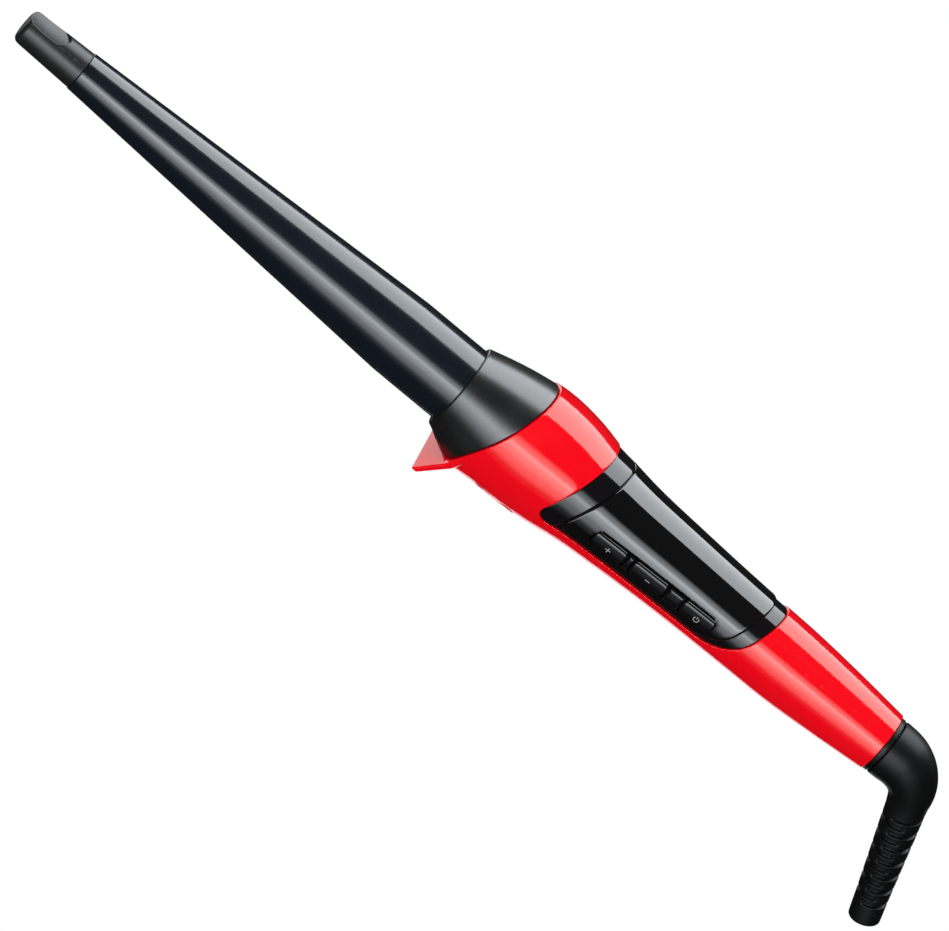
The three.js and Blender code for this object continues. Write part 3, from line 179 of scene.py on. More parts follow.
floor = quad_object(
    "studio_floor",
    [(x * FLOOR_HALF, y * FLOOR_HALF, FLOOR_DEPTH) for x, y in ((-1, -1), (1, -1), (1, 1), (-1, 1))],
)
floor.visible_glossy = False
glow_on(floor, "floor_paint", (1, 1, 1, 1), 1.0)


def softbox(name, angle, spread, reach, level, graded=None):
    """A long sheet of light parallel to the wand, seen only in reflections. Its angle and its
    spread, in degrees, are about the wand's axis from the camera's side, and reach is where it
    starts and ends along X."""
    angle = math.radians(angle)
    facing = math.cos(angle) * view_side + math.sin(angle) * view_over
    across = -math.sin(angle) * view_side + math.cos(angle) * view_over
    half = SOFTBOX_DISTANCE * math.tan(math.radians(spread) / 2)
    corners = []
    for end, v in ((0, -1), (1, -1), (1, 1), (0, 1)):
        start = SOFTBOX_DISTANCE * facing + v * half * across
        corners.append(start + Vector((reach[end], 0, AXIS_Z)))
    sheet = quad_object(name, corners)
    grid = sheet.data.uv_layers.new(name="across")
    for loop, value in zip(grid.data, ((0, 0), (1, 0), (1, 1), (0, 1))):
        loop.uv = value
    sheet.visible_camera = False
    glow_on(sheet, name, SOFTBOX_TINT, level, graded)


softbox("softbox_over", 88, 56, (-1.1, 1.3), 6.4)
softbox(
    "softbox_low", -34, 74, (-1.1, 1.3), 8.4,
    [(0.0, 0.0), (1.0, 0.0), (0.18, 0.04), (0.40, 0.34), (0.58, 0.66), (0.69, 1.0), (0.80, 0.42)],
)
softbox("softbox_far", 196, 34, (-1.2, -0.21), 1.6)

front_side = FRONT_BOX_WAY.cross((0, 0, 1)).normalized() * FRONT_BOX_HALF
front_over = front_side.cross(FRONT_BOX_WAY).normalized() * FRONT_BOX_HALF
front_sheet = quad_object("softbox_front", [
    SOFTBOX_DISTANCE * FRONT_BOX_WAY + a * front_side + b * front_over
    for a, b in ((-1, -1), (1, -1), (1, 1), (-1, 1))
])
front_sheet.visible_camera = False
glow_on(front_sheet, "softbox_front", (1, 1, 1, 1), FRONT_BOX_STRENGTH)

key_data = bpy.data.lights.new("body_key", "AREA")
key_data.energy = 9.0
key_data.size = 1.4
key_light = bpy.data.objects.new("body_key", key_data)
key_light.location = KEY_LIGHT_PLACE
key_light.rotation_euler = KEY_LIGHT_PLACE.to_track_quat("Z", "Y").to_euler()
key_light.visible_glossy = False
key_light.visible_camera = False
bpy.context.scene.collection.objects.link(key_light)

# ---- Cool tip ------------------------------------------------------------------------------
# The moulded end that stays cool enough to hold: dark heat-resistant nylon with a satin grain,
# a scoop for the thumb on top, and a ceramic-filled insulating disc between it and the barrel.

TIP_FRONT_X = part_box("cool_tip")[1].x * 1000
TIP_REAR_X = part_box("barrel")[1].x * 1000 + 0.04
TIP_REAR_RADIUS = 6.25
TIP_FRONT_RADIUS = 5.6
TIP_ROUNDING = 1.9
TIP_REAR_ROUNDING = 0.25
TIP_FINE_LENGTH = 15.0  # from the front, with close stations for the scoop
TIP_SIDES = 220
TIP_BORE_RADIUS = 3.5
TIP_SKIRT_RADIUS = 6.0
TIP_SKIRT_DEPTH = 1.4
TIP_ROOF = 3.4
# The scoop's floor: distance from the tip's front, height above the axis.
SCOOP_FLOOR = [(0.0, 4.25), (2.0, 4.0), (5.5, 3.8), (9.0, 4.0), (13.5, 4.45)]
SCOOP_LENGTH = 13.4
SCOOP_END_CURVE = 6.0
SCOOP_HALF_WIDTH = 4.7
SCOOP_END_BLEND = 0.5
SCOOP_HOLLOW = 0.015  # how the floor rises with the square of the distance from its middle


def surface_object(name, points, faces, paint, sharp=38):
    """A mesh object from points in millimetres about the wand's axis, shaded smooth."""
    lifted = np.asarray(points, float) * 0.001 + np.array([0, 0, AXIS_Z])
    mesh = bpy.data.meshes.new(name)
    mesh.from_pydata(lifted.tolist(), [], [tuple(int(i) for i in f) for f in faces])
    mesh.validate()
    mesh.materials.append(paint)
    mesh.shade_smooth()
    mesh.set_sharp_from_angle(angle=math.radians(sharp))
    obj = bpy.data.objects.new(name, mesh)
    bpy.context.scene.collection.objects.link(obj)
    return obj


def facing_out(obj):
    """Turns the faces outwards if the mesh's volume says that they point in."""
    mesh = obj.data
    mesh.calc_loop_triangles()
    co = np.array([v.co for v in mesh.vertices])
    tri = np.array([t.vertices for t in mesh.loop_triangles])
    volume = np.einsum("ij,ij->i", co[tri[:, 0]], np.cross(co[tri[:, 1]], co[tri[:, 2]])).sum()
    if volume < 0:
        mesh.flip_normals()
    return obj


def arc(centre_x, centre_r, radius, start, end, steps):
    """Points on a round corner of a turned profile, with angles in degrees from +X."""
    angles = np.radians(np.linspace(start, end, steps + 1))
    return [(centre_x + radius * math.cos(a), centre_r + radius * math.sin(a)) for a in angles]


def turned(profile, sides, closed=False):
    """Points and faces of a body turned about X. The profile runs so that its left is inside:
    from a pole at +X to one at -X, or round a closed section."""
    points, rings = [], []
    for x, r in profile:
        if r < 1e-6:
            rings.append([len(points)] * sides)
            points.append((x, 0.0, 0.0))
            continue
        rings.append([len(points) + k for k in range(sides)])
        for k in range(sides):
            turn = 2 * math.pi * k / sides
            points.append((x, r * math.sin(turn), r * math.cos(turn)))
    faces = []
    pairs = list(zip(rings, rings[1:])) + ([(rings[-1], rings[0])] if closed else [])
    for a, b in pairs:
        for k in range(sides):
            n = (k + 1) % sides
            corners = [a[k], b[k], b[n], a[n]]
            face = [c for i, c in enumerate(corners) if c != corners[i - 1]]
            faces.append(face)
    return np.array(points), faces


def grain_group():
    """Fine moulded or blasted grain: a height and a mask, from the piece's own coordinates."""
    group = bpy.data.node_groups.new("fine_grain", "ShaderNodeTree")
    face = group.interface
    scale = face.new_socket("Scale", in_out="INPUT", socket_type="NodeSocketFloat")
    scale.default_value = 2500
    stretch = face.new_socket("Stretch", in_out="INPUT", socket_type="NodeSocketVector")
    stretch.default_value = (1, 1, 1)
    face.new_socket("Height", in_out="OUTPUT", socket_type="NodeSocketFloat")
    face.new_socket("Mask", in_out="OUTPUT", socket_type="NodeSocketFloat")
    inputs = group.nodes.new("NodeGroupInput")
    outputs = group.nodes.new("NodeGroupOutput")
    place = group.nodes.new("ShaderNodeTexCoord").outputs["Object"]
    spread = group.nodes.new("ShaderNodeVectorMath")
    spread.operation = "MULTIPLY"
    group.links.new(place, spread.inputs[0])
    group.links.new(inputs.outputs["Stretch"], spread.inputs[1])
    fine = node_in(group, "ShaderNodeTexNoise", Vector=spread.outputs[0], Detail=3.0)
    group.links.new(inputs.outputs["Scale"], fine.inputs["Scale"])
    patch_scale = math_in(group, "MULTIPLY", inputs.outputs["Scale"], 0.04)
    patch = node_in(group, "ShaderNodeTexNoise", Vector=place, Scale=patch_scale, Detail=2.0)
    group.links.new(fine.outputs[0], outputs.inputs["Height"])
    group.links.new(patch.outputs[0], outputs.inputs["Mask"])
    return group


def wear_group():
    """Handling: broken polish along edges and faint smudges. Puts out two masks."""
    group = bpy.data.node_groups.new("handling_wear", "ShaderNodeTree")
    face = group.interface
    scale = face.new_socket("Smudge Scale", in_out="INPUT", socket_type="NodeSocketFloat")
    scale.default_value = 60
    face.new_socket("Edge", in_out="OUTPUT", socket_type="NodeSocketFloat")
    face.new_socket("Smudge", in_out="OUTPUT", socket_type="NodeSocketFloat")
    inputs = group.nodes.new("NodeGroupInput")
    outputs = group.nodes.new("NodeGroupOutput")
    point = group.nodes.new("ShaderNodeNewGeometry").outputs["Pointiness"]
    ridge = node_in(group, "ShaderNodeMapRange", Value=point)
    ridge.inputs["From Min"].default_value = 0.53
    ridge.inputs["From Max"].default_value = 0.62
    place = group.nodes.new("ShaderNodeTexCoord").outputs["Object"]
    chips = node_in(group, "ShaderNodeTexNoise", Vector=place, Scale=900.0, Detail=3.0)
    broken = node_in(group, "ShaderNodeMapRange", Value=chips.outputs[0])
    broken.inputs["From Min"].default_value = 0.42
    broken.inputs["From Max"].default_value = 0.7
    edge = math_in(group, "MULTIPLY", ridge.outputs[0], broken.outputs[0])
    smear = node_in(group, "ShaderNodeTexNoise", Vector=place, Detail=4.0, Distortion=0.6)
    group.links.new(inputs.outputs["Smudge Scale"], smear.inputs["Scale"])
    group.links.new(edge, outputs.inputs["Edge"])
    group.links.new(smear.outputs[0], outputs.inputs["Smudge"])
    return group


fine_grain = grain_group()
handling_wear = wear_group()


def paint_of(name, dark, light, rough, grain, metallic=0.0, coat=0.0, wear=None,
             stretch=(1, 1, 1), shine=0.5, tint=(1, 1, 1)):
    """A finish that varies over its surface: two close colours, a span of roughness, a grain of
    (scale, bump height in mm) and, where given, the colour that worn edges show."""
    paint = bpy.data.materials.new(name)
    paint.use_nodes = True
    tree = paint.node_tree
    shader = tree.nodes["Principled BSDF"]
    surface = tree.nodes.new("ShaderNodeGroup")
    surface.node_tree = fine_grain
    surface.inputs["Scale"].default_value = grain[0]
    surface.inputs["Stretch"].default_value = stretch
    use = tree.nodes.new("ShaderNodeGroup")
    use.node_tree = handling_wear
    blend = tree.nodes.new("ShaderNodeMix")
    blend.data_type = "RGBA"
    tree.links.new(surface.outputs["Mask"], blend.inputs["Factor"])
    blend.inputs["A"].default_value = (*dark, 1)
    blend.inputs["B"].default_value = (*light, 1)
    colour = blend.outputs["Result"]
    if wear:
        worn = tree.nodes.new("ShaderNodeMix")
        worn.data_type = "RGBA"
        tree.links.new(use.outputs["Edge"], worn.inputs["Factor"])
        tree.links.new(colour, worn.inputs["A"])
        worn.inputs["B"].default_value = (*wear, 1)
        colour = worn.outputs["Result"]
    tree.links.new(colour, shader.inputs["Base Color"])
    gloss = node_in(tree, "ShaderNodeMapRange", Value=use.outputs["Smudge"])
    gloss.inputs["From Min"].default_value = 0.3
    gloss.inputs["From Max"].default_value = 0.7
    gloss.inputs["To Min"].default_value = rough[0]
    gloss.inputs["To Max"].default_value = rough[1]
    tree.links.new(gloss.outputs[0], shader.inputs["Roughness"])
    bump = node_in(tree, "ShaderNodeBump", Height=surface.outputs["Height"], Strength=1.0)
    bump.inputs["Distance"].default_value = grain[1] * 0.001
    tree.links.new(bump.outputs[0], shader.inputs["Normal"])
    shader.inputs["Metallic"].default_value = metallic
    shader.inputs["Coat Weight"].default_value = coat
    shader.inputs["Coat Roughness"].default_value = 0.04
    shader.inputs["Specular IOR Level"].default_value = shine
    shader.inputs["Specular Tint"].default_value = (*tint, 1)
    return paint


satin_nylon = paint_of(
    "satin_nylon", (0.0085, 0.0088, 0.009), (0.012, 0.0122, 0.0125), (0.31, 0.37), (2600, 0.006),
    wear=(0.04, 0.04, 0.04), shine=0.4,
)

tip_stations = list(np.arange(TIP_FRONT_X - TIP_ROUNDING, TIP_FRONT_X - TIP_FINE_LENGTH, -0.13))
tip_stations += list(
    np.linspace(TIP_FRONT_X - TIP_FINE_LENGTH - 0.2, TIP_REAR_X + TIP_REAR_ROUNDING, 12)
)
tip_slope = (TIP_REAR_RADIUS - TIP_FRONT_RADIUS) / (TIP_FRONT_X - TIP_REAR_X)
tip_profile = [(TIP_FRONT_X, 0)]
tip_profile += [(TIP_FRONT_X, r) for r in np.linspace(0.6, TIP_FRONT_RADIUS - TIP_ROUNDING, 26)]
tip_profile += arc(
    TIP_FRONT_X - TIP_ROUNDING, TIP_FRONT_RADIUS - TIP_ROUNDING, TIP_ROUNDING, 5, 90, 14
)
tip_profile += [(x, TIP_FRONT_RADIUS + tip_slope * (TIP_FRONT_X - x)) for x in tip_stations[1:]]
tip_profile += arc(
    TIP_REAR_X + TIP_REAR_ROUNDING, TIP_REAR_RADIUS - TIP_REAR_ROUNDING, TIP_REAR_ROUNDING,
    100, 180, 4,
)
outer_count = len(tip_profile)
tip_profile += [(TIP_REAR_X, TIP_SKIRT_RADIUS), (TIP_REAR_X + TIP_SKIRT_DEPTH, TIP_SKIRT_RADIUS)]
bore_stations = np.linspace(TIP_REAR_X + TIP_SKIRT_DEPTH, TIP_FRONT_X - TIP_ROOF, 8)
tip_profile += [(x, TIP_BORE_RADIUS) for x in bore_stations]
tip_profile += [(TIP_FRONT_X - TIP_ROOF, 0)]
tip_points, tip_faces = turned(tip_profile, TIP_SIDES)
from_front = TIP_FRONT_X - tip_points[:, 0]
across = np.clip(np.abs(tip_points[:, 1]) / SCOOP_HALF_WIDTH, 0, 1)
scoop_end = SCOOP_LENGTH - SCOOP_END_CURVE * (1 - np.sqrt(1 - across**2))
inside = np.clip((scoop_end - from_front) / SCOOP_END_BLEND + 0.5, 0, 1)
inside = inside * inside * (3 - 2 * inside)
scoop_floor = np.interp(from_front, *zip(*SCOOP_FLOOR)) + SCOOP_HOLLOW * tip_points[:, 1] ** 2
outer = np.arange(len(tip_points)) < 1 + (outer_count - 1) * TIP_SIDES
scooped = outer & (tip_points[:, 2] > scoop_floor)
tip_points[scooped, 2] += (inside * (scoop_floor - tip_points[:, 2]))[scooped]
cool_tip = facing_out(surface_object(
    "cool_tip_shell", tip_points, tip_faces, satin_nylon, sharp=60
))
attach(cool_tip, "wand")
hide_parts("cool_tip")

ceramic_filled = paint_of(
    "ceramic_filled_plastic", (0.035, 0.034, 0.033), (0.05, 0.048, 0.045), (0.6, 0.75),
    (1500, 0.02),
)
nodes["tip_insulator"].data.materials[0] = ceramic_filled

# ---- Barrel --------------------------------------------------------------------------------
# The heated cone: a drawn aluminium tube with a fired blue-black ceramic coating. It tapers to
# the tip and runs straight for its last stretch, which ends in the collar.

BARREL_FRONT_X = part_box("barrel")[1].x * 1000
BARREL_REAR_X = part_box("barrel")[0].x * 1000
CONE_REAR_X = 29.2
BARREL_TIP_RADIUS = 6.5
BARREL_BASE_RADIUS = 12.5
BARREL_WALL = 1.3
BARREL_RIM = 0.25
BARREL_SIDES = 180


def link_all(tree, *pairs):
    """Links each (output, input) pair of a node tree."""
    for source, target in pairs:
        tree.links.new(source, target)


def cone_tree():
    """A tube along X whose radius goes straight from one size to another, then stays."""
    tree = bpy.data.node_groups.new("drawn_cone", "GeometryNodeTree")
    face = tree.interface
    face.new_socket("Geometry", in_out="INPUT", socket_type="NodeSocketGeometry")
    for name in ("Front X", "Cone Rear X", "Rear X", "Front Radius", "Rear Radius"):
        face.new_socket(name, in_out="INPUT", socket_type="NodeSocketFloat")
    face.new_socket("Sides", in_out="INPUT", socket_type="NodeSocketInt")
    face.new_socket("Finish", in_out="INPUT", socket_type="NodeSocketMaterial")
    face.new_socket("Geometry", in_out="OUTPUT", socket_type="NodeSocketGeometry")
    given = tree.nodes.new("NodeGroupInput").outputs
    start = tree.nodes.new("ShaderNodeCombineXYZ")
    end = tree.nodes.new("ShaderNodeCombineXYZ")
    line = tree.nodes.new("GeometryNodeCurvePrimitiveLine")
    stations = tree.nodes.new("GeometryNodeResampleCurve")
    stations.inputs["Count"].default_value = 200
    place = tree.nodes.new("GeometryNodeInputPosition")
    parts = tree.nodes.new("ShaderNodeSeparateXYZ")
    taper = tree.nodes.new("ShaderNodeMapRange")
    sized = tree.nodes.new("GeometryNodeSetCurveRadius")
    ring = tree.nodes.new("GeometryNodeCurvePrimitiveCircle")
    ring.inputs["Radius"].default_value = 1.0
    tube = tree.nodes.new("GeometryNodeCurveToMesh")
    smooth = tree.nodes.new("GeometryNodeSetShadeSmooth")
    real = tree.nodes.new("GeometryNodeRealizeInstances")
    painted = tree.nodes.new("GeometryNodeSetMaterial")
    out = tree.nodes.new("NodeGroupOutput")
    link_all(
        tree,
        (given["Rear X"], start.inputs["X"]),
        (given["Front X"], end.inputs["X"]),
        (start.outputs[0], line.inputs["Start"]),
        (end.outputs[0], line.inputs["End"]),
        (line.outputs[0], stations.inputs["Curve"]),
        (place.outputs[0], parts.inputs[0]),
        (parts.outputs["X"], taper.inputs["Value"]),
        (given["Cone Rear X"], taper.inputs["From Min"]),
        (given["Front X"], taper.inputs["From Max"]),
        (given["Rear Radius"], taper.inputs["To Min"]),
        (given["Front Radius"], taper.inputs["To Max"]),
        (stations.outputs[0], sized.inputs["Curve"]),
        (given["Sides"], ring.inputs["Resolution"]),
        (sized.outputs[0], tube.inputs["Curve"]),
        (ring.outputs[0], tube.inputs["Profile Curve"]),
        (tube.outputs[0], smooth.inputs["Geometry"]),
        (smooth.outputs[0], real.inputs[0]),
        (real.outputs[0], painted.inputs["Geometry"]),
        (given["Finish"], painted.inputs["Material"]),
        (painted.outputs[0], out.inputs[0]),
    )
    radius = taper.outputs["Result"]
    tree.links.new(radius, sized.inputs["Radius"])
    if "Scale" in tube.inputs:
        tree.links.new(radius, tube.inputs["Scale"])
    return tree


def grown(name, tree, values, source=None):
    """Runs a geometry tree on a scratch object about the wand's axis, and keeps its result as a
    plain mesh object in the frame."""
    base = source or bpy.data.objects.new(name + "_form", bpy.data.meshes.new(name + "_form"))
    if source is None:
        bpy.context.scene.collection.objects.link(base)
    modifier = base.modifiers.new("form", "NODES")
    modifier.node_group = tree
    for item in tree.interface.items_tree:
        if item.item_type == "SOCKET" and item.in_out == "INPUT" and item.name in values:
            modifier[item.identifier] = values[item.name]
    bpy.context.view_layer.update()
    graph = bpy.context.evaluated_depsgraph_get()
    mesh = bpy.data.meshes.new_from_object(base.evaluated_get(graph), depsgraph=graph)
    mesh.name = name
    bpy.data.objects.remove(base)
    mesh.transform(Matrix.Translation((0, 0, AXIS_Z)))
    obj = bpy.data.objects.new(name, mesh)
    bpy.context.scene.collection.objects.link(obj)
    return obj


def add_wall(obj, thickness, bevel=0.0):
    """Gives an open skin its wall, inwards, and rounds the rims."""
    wall = obj.modifiers.new("wall", "SOLIDIFY")
    wall.thickness = thickness * 0.001
    wall.offset = -1
    if bevel:
        rim = obj.modifiers.new("rim", "BEVEL")
        rim.width = bevel * 0.001
        rim.segments = 3
        rim.limit_method = "ANGLE"
        rim.angle_limit = math.radians(50)


barrel_coating = paint_of(
    "fired_coating", (0.0038, 0.0068, 0.0120), (0.0052, 0.0090, 0.0155), (0.15, 0.19),
    (1800, 0.0008), coat=0.25, stretch=(0.12, 1, 1),
)
barrel = grown("barrel_tube", cone_tree(), {
    "Front X": BARREL_FRONT_X * 0.001,
    "Cone Rear X": CONE_REAR_X * 0.001,
    "Rear X": BARREL_REAR_X * 0.001,
    "Front Radius": BARREL_TIP_RADIUS * 0.001,
    "Rear Radius": BARREL_BASE_RADIUS * 0.001,
    "Sides": BARREL_SIDES,
    "Finish": barrel_coating,
})
add_wall(barrel, BARREL_WALL, BARREL_RIM)
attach(barrel, "wand")
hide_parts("barrel")

# ---- Heater --------------------------------------------------------------------------------
# Hidden in the barrel: three heating chips between copper electrodes, clamped by two grooved
# aluminium blocks, with a sensor bead and a thermal fuse. Milled metal and pressed ceramic.

milled_aluminium = paint_of(
    "milled_aluminium", (0.52, 0.53, 0.54), (0.6, 0.61, 0.62), (0.3, 0.42), (1400, 0.01),
    metallic=1.0, stretch=(0.1, 1, 1),
)
pressed_ceramic = paint_of(
    "pressed_ceramic", (0.55, 0.52, 0.45), (0.64, 0.61, 0.54), (0.6, 0.75), (1800, 0.02)
)
rolled_copper = paint_of(
    "rolled_copper", (0.55, 0.24, 0.12), (0.66, 0.31, 0.17), (0.25, 0.38), (1500, 0.004),
    metallic=1.0, stretch=(0.1, 1, 1),
)
turned_steel = paint_of(
    "plated_steel", (0.42, 0.43, 0.44), (0.5, 0.51, 0.52), (0.24, 0.36), (2200, 0.004),
    metallic=1.0,
)
moulded_insulator = paint_of(
    "moulded_insulator", (0.56, 0.5, 0.4), (0.64, 0.58, 0.48), (0.62, 0.78), (1600, 0.02)
)


def repaint(paint, *names):
    """Gives CAD nodes a finish."""
    for name in names:
        nodes[name].data.materials[0] = paint


repaint(milled_aluminium, "heater_block_upper", "heater_block_lower")
repaint(rolled_copper, "electrode_upper", "electrode_lower", "brush_live", "brush_neutral")
repaint(pressed_ceramic, "heater_chip_front", "heater_chip_middle", "heater_chip_rear")
repaint(pressed_ceramic, "thermistor", "mains_fuse")
repaint(turned_steel, "thermal_fuse", "tip_screw", "board_screw_1", "board_screw_2")
repaint(moulded_insulator, "barrel_seat", "retaining_ring")

# ---- Collar --------------------------------------------------------------------------------
# The satin nylon ring that shields the hand from the barrel. It flares from a thin mouth round
# the barrel to the slanted joint with the red shells, and lies just below their surface.

HANDLE_FRONT_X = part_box("collar")[1].x * 1000
HANDLE_REAR_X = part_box("upper_shell")[0].x * 1000
# Share of the handle's length from its front, radius, drop of its middle below the axis.
HANDLE_OUTLINE = [
    (0, 14.1, 0.1), (0.041, 15.9, 0.1), (0.096, 17.95, 0.25), (0.168, 19.3, 0.25),
    (0.24, 18.45, 0.3), (0.312, 16.4, 0.75), (0.385, 15.1, 1.2), (0.511, 13.85, 1.35),
    (0.691, 12.9, 1.8), (0.782, 12.6, 1.95), (0.889, 11.45, 1.95), (1, 9.85, 1.95),
]
SEAM_SLOPE = 0.38
COLLAR_SEAM_X = -9.2
COLLAR_SINK = 0.4
COLLAR_LIP = 2.4
MOUTH_RADIUS = 12.8
COLLAR_STATIONS = 60
COLLAR_SIDES = 220
COLLAR_RIM = (0.4, 0.4)
SHELL_WALL = 2.2
# How far the underside flares towards the stand lip, against x.
FLARE = np.array([
    (-30.0, 0.0), (-24.0, 0.0), (-18.0, 0.15), (-14.0, 0.6), (-10.0, 1.5), (-6.5, 2.45),
    (-3.5, 2.85), (-1.0, 2.5), (2.5, 1.5), (5.0, 0.8), (6.7, 0.5),
])


def smooth_table(xs, ys):
    """A fine table of a smooth curve through the given stations, for np.interp."""
    slopes = np.gradient(ys, xs)
    fine_x, fine_y = [], []
    for i in range(len(xs) - 1):
        span = xs[i + 1] - xs[i]
        for t in np.linspace(0, 1, 24, endpoint=False):
            fine_x.append(xs[i] + t * span)
            h00, h10 = 2 * t**3 - 3 * t**2 + 1, t**3 - 2 * t**2 + t
            h01, h11 = -2 * t**3 + 3 * t**2, t**3 - t**2
            fine_y.append(
                h00 * ys[i] + h10 * span * slopes[i] + h01 * ys[i + 1] + h11 * span * slopes[i + 1]
            )
    return np.array(fine_x + [xs[-1]]), np.array(fine_y + [ys[-1]])


outline = np.array(HANDLE_OUTLINE)
stations = outline[:, 0] * (HANDLE_FRONT_X - HANDLE_REAR_X)
radius_table = smooth_table(stations, outline[:, 1])
drop_table = smooth_table(stations, outline[:, 2])
flare_table = smooth_table(FLARE[:, 0], FLARE[:, 1])


def handle_radius(x):
    """The handle's radius above its flare, at an x."""
    return np.interp(HANDLE_FRONT_X - x, *radius_table)


def handle_drop(x):
    """How far the handle's middle is below the wand's axis, at an x."""
    return np.interp(HANDLE_FRONT_X - x, *drop_table)


def skin_radius(x, turn):
    """The outline's radius, with the underside's flare, which fades towards the sides."""
    under = np.clip((-np.cos(turn) - 0.08) / 0.9, 0, 1)
    return handle_radius(x) + np.interp(x, *flare_table) * under * under * (3 - 2 * under)


def height_at(height, x, z):
    """A height over the handle's surface, given as a number or as a rule of place."""
    return height(x, z) if callable(height) else height


def on_handle(x, turn, height, sunk=0.0):
    """Points on the handle's surface, raised by height. The turn is from straight up towards +Y."""
    r = skin_radius(x, turn)
    r = r + height_at(height, x, r * np.cos(turn) - handle_drop(x)) - sunk
    return np.stack([x, r * np.sin(turn), r * np.cos(turn) - handle_drop(x)], axis=-1)


def seam(x, z):
    """Where a slanted joint line that crosses the axis at x has come to at a height."""
    return x - SEAM_SLOPE * z


def closed_skin(name, place, cells, top, bottom, rounding, paint, wrap=False, steps=5):
    """A closed body between two skins of a grid. place(inset, height, sunk) gives the grid's
    points with its rims drawn in by inset, and cells says which faces exist. rounding is the
    width and the fall of the rounded rim at the top."""
    rows, columns = cells.shape
    width, fall = rounding
    grids = []
    for step in range(steps + 1):
        a = math.pi / 2 * step / steps
        grids.append(place(width * (1 - math.sin(a)), top, fall * (1 - math.cos(a))))
    grids.append(place(0.0, bottom))
    shape = grids[0].shape[:2]
    size = shape[0] * shape[1]
    points = np.concatenate([g.reshape(-1, 3) for g in grids])
    last = len(grids) - 1

    def vertex(layer, i, j):
        return layer * size + i * shape[1] + (j % shape[1] if wrap else j)

    def present(i, j):
        if wrap:
            j %= columns
        return 0 <= i < rows and 0 <= j < columns and cells[i, j]

    faces = []
    for i, j in zip(*np.nonzero(cells)):
        corner = [(i, j), (i + 1, j), (i + 1, j + 1), (i, j + 1)]
        faces.append([vertex(0, *c) for c in corner])
        faces.append([vertex(last, *c) for c in reversed(corner)])
        beyond = [(i, j - 1), (i + 1, j), (i, j + 1), (i - 1, j)]
        for side, other in enumerate(beyond):
            if present(*other):
                continue
            a, b = corner[side], corner[(side + 1) % 4]
            for layer in range(last):
                faces.append([
                    vertex(layer, *b), vertex(layer, *a),
                    vertex(layer + 1, *a), vertex(layer + 1, *b),
                ])
    faces = np.array(faces)
    used, packed = np.unique(faces, return_inverse=True)
    return surface_object(name, points[used], packed.reshape(faces.shape), paint)


collar_nylon = paint_of(
    "collar_nylon", (0.0045, 0.0046, 0.0048), (0.0065, 0.0066, 0.0068), (0.25, 0.3),
    (2600, 0.005), wear=(0.03, 0.03, 0.03), shine=0.72,
)


def collar_place(inset, height, sunk=0.0):
    """The collar's grid, from its mouth to the slanted joint and all the way round."""
    share = np.linspace(0, 1, COLLAR_STATIONS)[:, None]
    turn = np.linspace(0, 2 * math.pi, COLLAR_SIDES, endpoint=False)[None, :] + 0 * share
    z = MOUTH_RADIUS * np.cos(turn)
    front = HANDLE_FRONT_X - inset
    for _ in range(9):
        x = front + share * (seam(COLLAR_SEAM_X, z) + inset - front)
        z = on_handle(x, turn, height, sunk)[..., 2]
    return on_handle(x, turn, height, sunk)


def collar_inside(x, z):
    """The inner skin: a lip close round the barrel, then an even wall."""
    turn = np.arccos(np.clip((z + handle_drop(x)) / handle_radius(x), -1, 1))
    mouth = MOUTH_RADIUS - skin_radius(x, turn)
    return np.where(x > HANDLE_FRONT_X - COLLAR_LIP, mouth, -SHELL_WALL)


collar = facing_out(closed_skin(
    "collar_ring", collar_place, np.ones((COLLAR_STATIONS - 1, COLLAR_SIDES), bool), -COLLAR_SINK,
    collar_inside, COLLAR_RIM, collar_nylon, wrap=True,
))
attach(collar, "wand")
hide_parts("collar")

# ---- Red shells ----------------------------------------------------------------------------
# The two halves of the housing, injection moulded in glossy red ABS and parted at mid height.
# Their rims are rounded where they meet the collar and the panel. The upper half shows as two
# pieces, before and behind the panel, and the lower one has a well for each housing screw.

GAP = 0.3
POCKET_GAP = 0.14
PARTING = 0.005
RIM = (0.24, 0.24)
OVER_ROWS = 110
BAND_ROWS = 10
BELLY_ROWS = 130
# The lower half's stations: to the panel's front corner, round it, along the panel's bottom,
# round its rear corner, and on to the handle's rear.
BAND_STEPS = 39
CORNER_STEPS = 12
BOTTOM_STEPS = 75
REAR_STEPS = 21
TAIL_STEPS = 69
PANEL_FRONT_X = -35.0
PANEL_REAR_X = -105.7
PANEL_BOTTOM_Z = -7.5
PANEL_FRONT_CORNER = 5.0
PANEL_REAR_CORNER = 10.0

gloss_red = paint_of(
    "gloss_red", (0.86, 0.0008, 0.0075), (0.90, 0.0012, 0.010), (0.07, 0.11), (160, 0.003),
    wear=(0.95, 0.02, 0.03), tint=(1.0, 0.96, 0.84),
)


